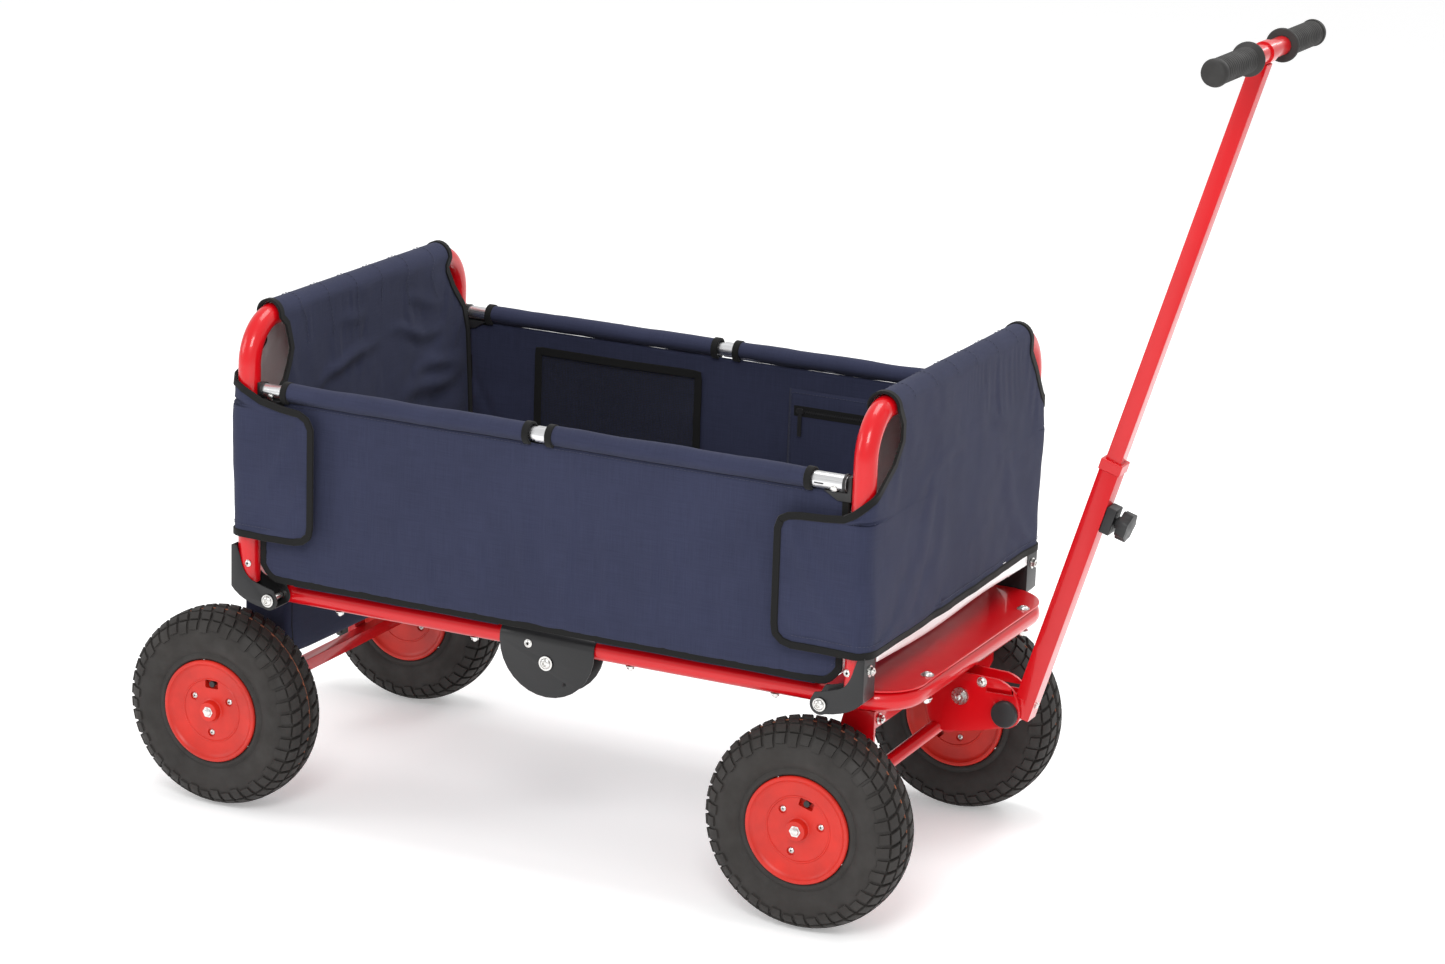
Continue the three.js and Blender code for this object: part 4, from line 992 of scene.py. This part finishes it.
def rear_bag():
    """Bag under the rear of the frame: an open shell that sags between its corners."""
    x0, x1, half, low, top = -473.0, -405.0, 183.0, 182.0, 274.0
    levels = [(top, 1.0), (252, 1.01), (226, 1.01), (200, 0.985), (188, 0.93), (183, 0.8), (low, 0.5),
              (low, 0.0)]
    corners = np.array(round_rectangle(-1, 1, -1, 1, 0.16, 5))
    outline = []
    for a, b in zip(corners, np.roll(corners, -1, 0)):
        steps = max(1, int(np.linalg.norm(b - a) * 14))
        outline += [a + (b - a) * k / steps for k in range(steps)]
    outline = np.array(outline)
    cx, hx = (x0 + x1) / 2, (x1 - x0) / 2
    rows = []
    for z, share in levels:
        wave = [noise.noise(Vector((p[0] * 1.5, p[1] * 3.5, z / 60.0))) for p in outline]
        grow = 1 + np.array(wave) * 0.035 * (1 if top > z > low else 0)
        sag = 1.8 * outline[:, 1] ** 2 * (1 if z < 230 else 0)      # the ends of the bottom lie higher
        rows.append(np.column_stack((cx + hx * outline[:, 0] * share * grow, half * outline[:, 1] * share,
                                     z + sag)))
    points = np.array(rows)
    count = len(outline)
    faces = [[row + j, row + (j + 1) % count, row + count + (j + 1) % count, row + count + j]
             for row in range(0, (len(levels) - 1) * count, count) for j in range(count)]
    verts = points.reshape(-1, 3)
    uv = np.column_stack((np.tile(np.arange(count) * 9.0, len(levels)), verts[:, 2])) * M
    cloth = sew("rear_bag_cloth", (verts, faces, uv), "rear_frame", ["rear_bag"], (NAVY_DARK, NAVY_DARK), 1.6)
    subdivide = cloth.modifiers.new("smooth", "SUBSURF")
    subdivide.levels = subdivide.render_levels = 1
    rim = points[0]
    normals = unit(rim - np.array((cx, 0, top)))
    normals[:, 2] = 0
    tape = edge_tape("rear_bag_binding", [(rim - (0, 0, 4.5), normals, True)], "rear_frame", 10, 3.4)
    corners = [int(np.argmin(np.abs(outline - (sx, sy)).sum(1))) for sx in (-1, 1) for sy in (-1, 1)]
    runs = [(points[:5, k], evenly(unit(rim[k] - np.array((cx, 0, top))), 5), False) for k in corners]
    piping = edge_tape("rear_bag_piping", runs, "rear_frame", 3.2, 2.6)


POCKET_FACE = ROD_Y - 2.2         # the left panel's inside
INWARD = (0.0, -1.0, 0.0)


def mesh_pocket():
    """Open mesh pocket on the left panel's inside, at the rear."""
    x0, x1, z0, z1 = -288.0, -48.0, 332.0, 518.0
    xs, zs = np.linspace(x0, x1, 40), np.linspace(z0, z1, 30)

    def net_face(x, z):
        bulge = math.sin(math.pi * (x - x0) / (x1 - x0)) ** 0.5 * (0.35 + 0.65 * (z - z0) / (z1 - z0))
        return x, POCKET_FACE - 3.2 * bulge, z

    points = np.array([[net_face(x, z) for x in xs] for z in zs])
    flat = np.array([[(x, z) for x in xs] for z in zs])
    points = ripple(points, 45.0, 1.2, 31, np.full(points.shape, INWARD))
    net = make("mesh_pocket_net", sheet_grid(points, flat), NETTING, "rear_hoop",
               ["mesh_pocket"], mend=False)
    line = rim_of(points)
    tape = edge_tape("mesh_pocket_binding", [(line, evenly(INWARD, len(line)), True)], "rear_hoop", 11.0, 2.4)


def zip_pocket():
    """Pocket with a zip on the left panel's inside, at the front."""
    body, face = "front_hoop", POCKET_FACE
    x0, x1, z0, z1, line = 86.0, 254.0, 331.0, 519.0, 491.0
    xs, zs = np.linspace(x0, x1, 30), np.linspace(z0, z1, 32)

    def pouch_face(x, z):
        near_edge = min(x - x0, x1 - x, z - z0, z1 - z)
        return x, face - 2.0 - 3.0 * min(1.0, near_edge / 9.0) ** 0.5, z

    points = np.array([[pouch_face(x, z) for x in xs] for z in zs])
    flat = np.array([[(x, z) for x in xs] for z in zs])
    pouch = sew("zip_pocket_cloth", sheet_grid(points, flat), body, ["zip_pocket"], thickness=1.2)
    band = slab(x0 + 9, x1 - 9, face - 5.6, face - 4.9, line - 7, line + 7)
    make("zip_tape", band, BINDING, body, bevel=0.3)
    teeth = []
    for k, x in enumerate(np.arange(x0 + 12, x1 - 12, 1.7)):
        low = line - 2 + 1.4 * (k % 2)
        teeth.append(slab(x, x + 1.3, face - 6.3, face - 5.5, low, low + 2.6))
    make("zip_teeth", joined(*teeth), BLACK_PLASTIC, body)
    border = [(x, face - 5.1, z) for x, z in round_rectangle(x0 + 4, x1 - 4, z0 + 4, z1 - 4, 5)]
    border.append(border[0])
    seam = joined(*stitches(border, evenly(INWARD, len(border)), lift=0.1))
    thread = make("zip_pocket_stitching", seam, THREAD, body)
    zip_slider(line)


def zip_slider(line):
    low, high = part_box("zip_slider")
    x = (low.x + high.x) / 2 / M - HINGE_X
    y0, y1 = low.y / M, high.y / M
    slider = prism(round_rectangle(x - 5, x + 5, line - 4, line + 4, 2.4), y0, y1 - 0.2, "xz")
    pull = prism(round_rectangle(x - 2.8, x + 2.8, line - 34, line - 3, 2.0), y0 + 0.4, y0 + 1.8, "xz")
    make("zip_slider_pull", joined(slider, pull), BLACK_PAINT, "zip_slider", ["zip_slider"],
         bevel=0.4)


# ---------------------------------------------------------------- wheels
LUGS = 44                         # tread blocks round each of the two centre rows
RIM_BOLT_R, RIM_BOLT_DEGREES = 30.0, (5, 125, 245)
VALVE_R, VALVE_DEGREES = 34.5, 65


def on_wheel(radius, width, degrees):
    """A place on a wheel that stands in the XZ plane about the origin."""
    a = math.radians(degrees)
    return radius * math.cos(a), width, radius * math.sin(a)


def tyre_section(t):
    """A point (radius, width) of the carcass and its outward normal; t runs from crown to bead."""
    power = 2 / 2.5
    centre, tall, wide = 95.0, 31.0, 38.6

    def place(a):
        c, s = (math.copysign(abs(v) ** power, v) for v in (math.cos(a), math.sin(a)))
        return np.array((centre + tall * c, wide * s))

    p, q = place(t - 0.01), place(t + 0.01)
    normal = np.array((q[1] - p[1], p[0] - q[0]))
    return place(t), normal / np.linalg.norm(normal)


def tread_block(angle, spread, t0, t1, height, slant, taper=0.86, steps=4):
    """One rubber block on the carcass, between section angles t0 and t1."""
    verts, faces = [], []
    for level in (0, 1):
        for i in range(steps + 1):
            share = i / steps
            inset = (1 - taper) * level
            t = t0 + (t1 - t0) * (inset / 2 + share * (1 - inset))
            (r, w), n = tyre_section(t)
            lift = height * level - 1.2 * (1 - level)
            r, w = r + n[0] * lift, w + n[1] * lift
            for edge in (-1, 1):
                a = angle + slant * (share - 0.5) + edge * spread / 2 * (1 - inset)
                verts.append((r * math.cos(a), w, r * math.sin(a)))
    row = 2 * (steps + 1)
    for i in range(steps):
        a, b, c, d = 2 * i, 2 * i + 1, 2 * i + 3, 2 * i + 2
        faces += [[a, b, c, d][::-1], [row + a, row + b, row + c, row + d],
                  [a, d, row + d, row + a], [b, row + b, row + c, c]]
    faces += [[0, row, row + 1, 1], [row - 2, row - 1, 2 * row - 1, 2 * row - 2]]
    return np.array(verts), faces


def tyre():
    """Carcass, two rows of centre blocks, shoulder blocks and the ribs down each sidewall."""
    ts = np.linspace(-2.12, 2.12, 44)
    profile = [(r, w) for (r, w), _ in map(tyre_section, ts)]
    bead = [(73.6, 35.4), (72.4, 36.0), (70.2, 36.0), (69.0, 35.2), (68.0, 34.4), (68.0, 24.0)]
    profile = [(r, -w) for r, w in bead[::-1]] + profile + bead
    inner = [(110.0, 18.0), (110.0, -18.0)]
    blocks = []
    pitch = 2 * math.pi / LUGS
    for k in range(LUGS):
        for side in (1, -1):
            a = k * pitch + (pitch / 2 if side > 0 else 0)
            blocks.append(tread_block(a, pitch * 0.80, side * 0.035, side * 0.36, 3.6, side * pitch * 0.35))
            blocks.append(tread_block(a + side * pitch * 0.42, pitch * 0.84, side * 0.40, side * 0.80, 3.6,
                                      side * pitch * 0.22))
            reach = 1.36 if k % 2 else 1.24
            blocks.append(tread_block(a + side * pitch * 0.50, pitch * 0.78, side * 0.83, side * reach, 2.2,
                                      0.0, 0.92))
    return joined(turned_y(profile + inner + [profile[0]], 96), *blocks)


def turned_y(profile, segments=72):
    """A [radius, Y] profile turned about Y."""
    verts, faces = lathe(profile, segments)
    return np.column_stack((verts[:, 0], verts[:, 2], verts[:, 1])), faces


def rim_body():
    """Both rim halves: rolled lips, dished faces with a raised circle, and a hub boss each side."""
    face = [(6.6, 29.0), (6.6, 40.4), (9.4, 40.6), (12.2, 40.2), (12.8, 38.6), (13.6, 31.8), (15.0, 31.0),
            (39.6, 31.4), (40.4, 32.4), (41.6, 32.4), (42.4, 31.6), (57.0, 33.2), (60.6, 35.0), (62.4, 37.4),
            (64.6, 38.2), (66.4, 37.6), (67.4, 35.8), (67.0, 33.0), (63.0, 30.0), (62.0, 24.0)]
    return turned_y(face + [(r, -w) for r, w in face[::-1]] + [face[0]])


def cutters(side):
    """What is cut out of a rim face: three bolt recesses and the valve window."""
    recess = [(0, 0), (5.4, 0), (5.8, 9), (0, 9)]
    tools = [turned(recess, on_wheel(RIM_BOLT_R, side * 29.2, degrees), (0, side, 0))
             for degrees in RIM_BOLT_DEGREES]
    window = prism(round_rectangle(-9.5, 9.5, -5.6, 5.6, 1.8, 4), -8, 12)
    turn = Matrix.Rotation(math.radians(90 - VALVE_DEGREES), 4, "Y")
    at = Matrix.Translation(on_wheel(VALVE_R, side * 31.5, VALVE_DEGREES))
    return joined(*tools), moved(moved(window, facing((0, 0, 0), (0, side, 0))), at @ turn)


def carve(piece, shapes, look):
    """Cuts shapes out of a piece; look is for the cut faces."""
    for shape in shapes:
        tool = bpy.data.objects.new("cutter", mesh_of("cutter", shape, [look]))
        bpy.context.scene.collection.objects.link(tool)
        cut = piece.modifiers.new("cut", "BOOLEAN")
        cut.operation, cut.object, cut.solver = "DIFFERENCE", tool, "EXACT"
        bpy.context.view_layer.update()
        evaluated = piece.evaluated_get(bpy.context.evaluated_depsgraph_get())
        made = bpy.data.meshes.new_from_object(evaluated)
        piece.modifiers.remove(cut)
        piece.data = made
        bpy.data.objects.remove(tool)
    piece.data.polygons.foreach_set("use_smooth", [True] * len(piece.data.polygons))
    piece.data.set_sharp_from_angle(angle=math.radians(30))


def wheel(end_name, end, side_name, side, tyre_shape, rim_shape, turn):
    """One wheel, turned by turn degrees from its valve's place."""
    body = f"wheel_{end_name}_{side_name}"
    x = FRONT_AXLE_X if end > 0 else REAR_AXLE_X
    place = Matrix.Translation((x, side * TRACK / 2, AXLE_Z)) @ Matrix.Rotation(math.radians(turn), 4, "Y")
    make(f"{end_name}_tyre_rubber_{side_name}", moved(tyre_shape, place), TYRE_RUBBER, body,
         [f"{end_name}_tyre_{side_name}"], smooth=38)
    marker = turned_y([(125.9, -0.9), (126.9, -0.6), (126.9, 0.6), (125.9, 0.9), (125.9, -0.9)], 96)
    make(f"{end_name}_tread_line_{side_name}", moved(marker, place), MARKER, body)
    rim = make(f"{end_name}_rim_halves_{side_name}", moved(rim_shape, place), RED_PLASTIC, body,
               [f"{end_name}_rim_{side_name}"], smooth=30)
    carve(rim, [moved(tool, place) for face in (1, -1) for tool in cutters(face)], RED_PLASTIC)
    bolts = [dome_bolt(on_wheel(RIM_BOLT_R, face * 29.0, degrees), (0, face, 0), 2.7, 2.0)
             for face in (1, -1) for degrees in RIM_BOLT_DEGREES]
    make(f"{end_name}_rim_bolts_{side_name}", moved(joined(*bolts), place), ZINC, body)
    stem, cap = ([on_wheel(VALVE_R, w, VALVE_DEGREES) for w in span] for span in ((12.0, 27.0), (27.2, 31.0)))
    valve = joined(sweep(stem, ring(3.0, 16)), sweep(cap, ring(3.9, 12)))
    if side < 0:
        valve = mirrored(valve, 1)
    make(f"{end_name}_valve_{side_name}", moved(valve, place), BLACK_PLASTIC, body)


# ---------------------------------------------------------------- axles and steering
def axle(end_name, end):
    """Axle shaft with a washer and a domed nut outside each hub."""
    x = FRONT_AXLE_X if end > 0 else REAR_AXLE_X
    reach = TRACK / 2 + RIM_HALF + 0.3
    shaft = sweep([(x, -reach, AXLE_Z), (x, reach, AXLE_Z)], ring(6, 24))
    nut = joined(lathe(disc(8.8, 1.2), 24), prism(ring(7.4, 6), 1.2, 3.6),
                 lathe([(0, 3.6), (5.4, 3.6), (4.6, 5.0), (2.6, 5.9), (0, 6.0)], 20))
    nuts = [moved(nut, facing((x, side * reach, AXLE_Z), (0, side, 0))) for _, side in SIDES]
    body = "steering" if end > 0 else "rear_frame"
    make(f"{end_name}_axle_shaft", joined(shaft, *nuts), ZINC, body, [f"{end_name}_axle"])


def steering():
    """The yoke, kingpin, rear axle beam and the bolts and caps of the handle's pivot."""
    dress("steering_yoke", RED_PAINT, 0.8)
    dress("kingpin_housing", RED_PAINT, 0.8)
    dress("rear_axle_beam", RED_PAINT, 0.9)
    kingpin = [hex_nut((KINGPIN_X, 0, 239.6), (0, 0, -1), 12, 9),
               sweep([(KINGPIN_X, 0, 240), (KINGPIN_X, 0, RAIL_TOP - 1)], ring(8, 24))]
    make("kingpin_bolt_set", joined(*kingpin), ZINC, "front_frame", ["kingpin_bolt"])
    bolts, caps = [], []
    cheek, cap_face = 18.6, 18.5                # outer faces of the yoke's cheeks and the caps' seats
    cap = [(0, 0.3), (16.6, 0.3), (17, 1.2), (17, 5.4), (15.8, 7.4), (13.6, 8.2), (0, 8.4)]
    pivot_x, _, pivot_z = HANDLE_PIVOT
    for _, side in SIDES:
        face, out = side * cheek, (0, side, 0)
        bolts.append(turned(disc(11, 1.6), (455, face, 240), out, 28))
        bolts.append(hex_nut((455, face + side * 1.5, 240), out, 6.6, 5.5))
        bolts.append(dome_bolt((482.6, face, 263), out, 5.2, 3.4))
        bolts.append(hex_nut((KINGPIN_X + 15, side * 176, 250), (1, 0, 0), 5.4))
        caps.append(turned(cap, (pivot_x, side * cap_face, pivot_z), out, 40))
    make("steering_bolts", joined(*bolts), ZINC, "steering")
    pin = sweep([(pivot_x, -cap_face, pivot_z), (pivot_x, cap_face, pivot_z)], ring(5, 20))
    make("handle_pivot_caps", joined(*caps, pin), BLACK_PLASTIC, "steering",
         ["handle_pivot_bolt"])


# ---------------------------------------------------------------- handle
def on_handle(shape):
    """From the handle's upright drawing (X ahead, Z along it, pivot at 0) to its place."""
    tilt = Matrix.Rotation(math.pi / 2 - HANDLE_TILT, 4, "Y")
    return moved(shape, Matrix.Translation(HANDLE_PIVOT) @ tilt)


GRIP_IN, GRIP_OUT, GRIP_R, GRIP_RIB = 59.0, 183.0, 15.0, 6.2


def grip(side_name, side):
    """Ribbed rubber grip with a flange at its inner end and a round outer end."""
    y0, y1, r = GRIP_IN, GRIP_OUT, GRIP_R
    profile = [(11.3, y0), (19.0, y0 + 0.2), (20.0, y0 + 1.6), (20.0, y0 + 3.6), (18.6, y0 + 5.4),
               (15.4, y0 + 8)]
    y = y0 + 10
    while y < y1 - 14:
        profile += [(r - 0.7, y), (r, y + 1.0), (r + 0.2, y + 3.4), (r - 0.5, y + 4.6)]
        y += GRIP_RIB
    profile += [(r + 0.8, y1 - 12), (r + 1.2, y1 - 7), (r, y1 - 2.5), (r - 3, y1 - 0.4), (0, y1)]
    profile += [(0, y1 - 3.4), (11.3, y1 - 3.4), (11.3, y0)]
    shape = turned_y(profile, 40)
    if side < 0:
        shape = mirrored(shape, 1)
    shape = shifted(shape, HANDLE_OFFSET, 0, CROSSBAR_S)
    make(f"grip_rubber_{side_name}", on_handle(shape), GRIP_RUBBER, "handle_upper",
         [f"grip_{side_name}"], smooth=42)


def handle():
    """The two square tubes, clamp and knob, the crossbar with its socket, and the grips."""
    dress("handle_lower_tube", RED_PAINT, 1.2)
    dress("handle_upper_tube", RED_PAINT, 1.2)
    dress("clamp_block", BLACK_PLASTIC, 1.4)
    dress("clamp_knob", BLACK_PLASTIC, 0.8)
    bar = sweep([(0, y, 0) for y in np.linspace(-178, 178, 8)], ring(11, 32))
    socket = turned_y([(0, -9), (13.4, -9), (13.4, 9), (0, 9), (0, -9)], 32)
    make("handle_crossbar_tube", on_handle(shifted(joined(bar, socket), HANDLE_OFFSET, 0, CROSSBAR_S)),
         RED_PAINT, "handle_upper", ["handle_crossbar"])
    for side_name, side in SIDES:
        grip(side_name, side)
    half = 14.2                                 # of the collar at the lower tube's end
    collar = slab(HANDLE_OFFSET - half, HANDLE_OFFSET + half, -half, half, 338, 352.6)
    make("handle_collar", on_handle(collar), RED_PAINT, "handle_lower", bevel=1.6)
    screw = dome_bolt((HANDLE_OFFSET + 12.6, 0, 20), (1, 0, 0), 3.6, 2.6)
    make("handle_screws", on_handle(screw), ZINC, "handle_lower")


# ---------------------------------------------------------------- stage and light
FLOOR_HALF, FLOOR_Z = 14.0, -0.0004          # metres
LIGHTS = (("key", (1.2, -3.2, 3.0), 1.4, 70), ("fill", (-3.4, -2.2, 1.8), 1.6, 26),
          ("rim", (1.6, 3.0, 2.8), 1.6, 36), ("top", (0.0, 0.4, 3.6), 1.6, 42))


def add_stage():
    """A pale floor, a white world and four soft lights: name, place, size and watts."""
    corners = [(x * FLOOR_HALF, y * FLOOR_HALF, FLOOR_Z) for x, y in ((-1, -1), (1, -1), (1, 1), (-1, 1))]
    mesh = bpy.data.meshes.new("floor")
    mesh.from_pydata(corners, [], [(0, 1, 2, 3)])
    pale = Look("pale_floor", (0.93, 0.93, 0.93), 0.9, Emission_Color=(1.0, 1.0, 1.0, 1.0),
                Emission_Strength=0.3)
    mesh.materials.append(pale.material)
    floor = bpy.data.objects.new("floor", mesh)
    bpy.context.scene.collection.objects.link(floor)
    world = bpy.context.scene.world or bpy.data.worlds.new("world")
    bpy.context.scene.world = world
    world.use_nodes = True
    sky = world.node_tree.nodes["Background"].inputs
    sky["Color"].default_value, sky["Strength"].default_value = (1, 1, 1, 1), 0.72
    for name, at, size, power in LIGHTS:
        data = bpy.data.lights.new(name, "AREA")
        data.energy, data.size = power, size
        light = bpy.data.objects.new(name, data)
        light.location = at
        light.rotation_euler = (Vector((0, 0, 0.35)) - Vector(at)).to_track_quat("-Z", "Y").to_euler()
        bpy.context.scene.collection.objects.link(light)
    bpy.context.scene.view_settings.view_transform = "Standard"


def build():
    """Camera and stage first, then every piece of the wagon."""
    add_camera()
    add_stage()
    for end_name, end in ENDS:
        frame_half(end_name, end)
        hoop(end_name, end)
        axle(end_name, end)
        floor_half(end_name, end)
        floor_welts(end_name, end)
        hood(end_name, end)
    for side_name, side in SIDES:
        hinge(side_name, side)
        rods(side_name, side)
        side_panel(side_name, side)
    mesh_pocket()
    zip_pocket()
    floor_hinge_lip()
    rear_bag()
    steering()
    handle()
    tyre_shape, rim_shape = tyre(), rim_body()
    turns = {("rear", "right"): -25, ("front", "right"): -9, ("rear", "left"): 40, ("front", "left"): 200}
    for end_name, end in ENDS:
        for side_name, side in SIDES:
            wheel(end_name, end, side_name, side, tyre_shape, rim_shape, turns[end_name, side_name])


build()
bpy.context.view_layer.update()
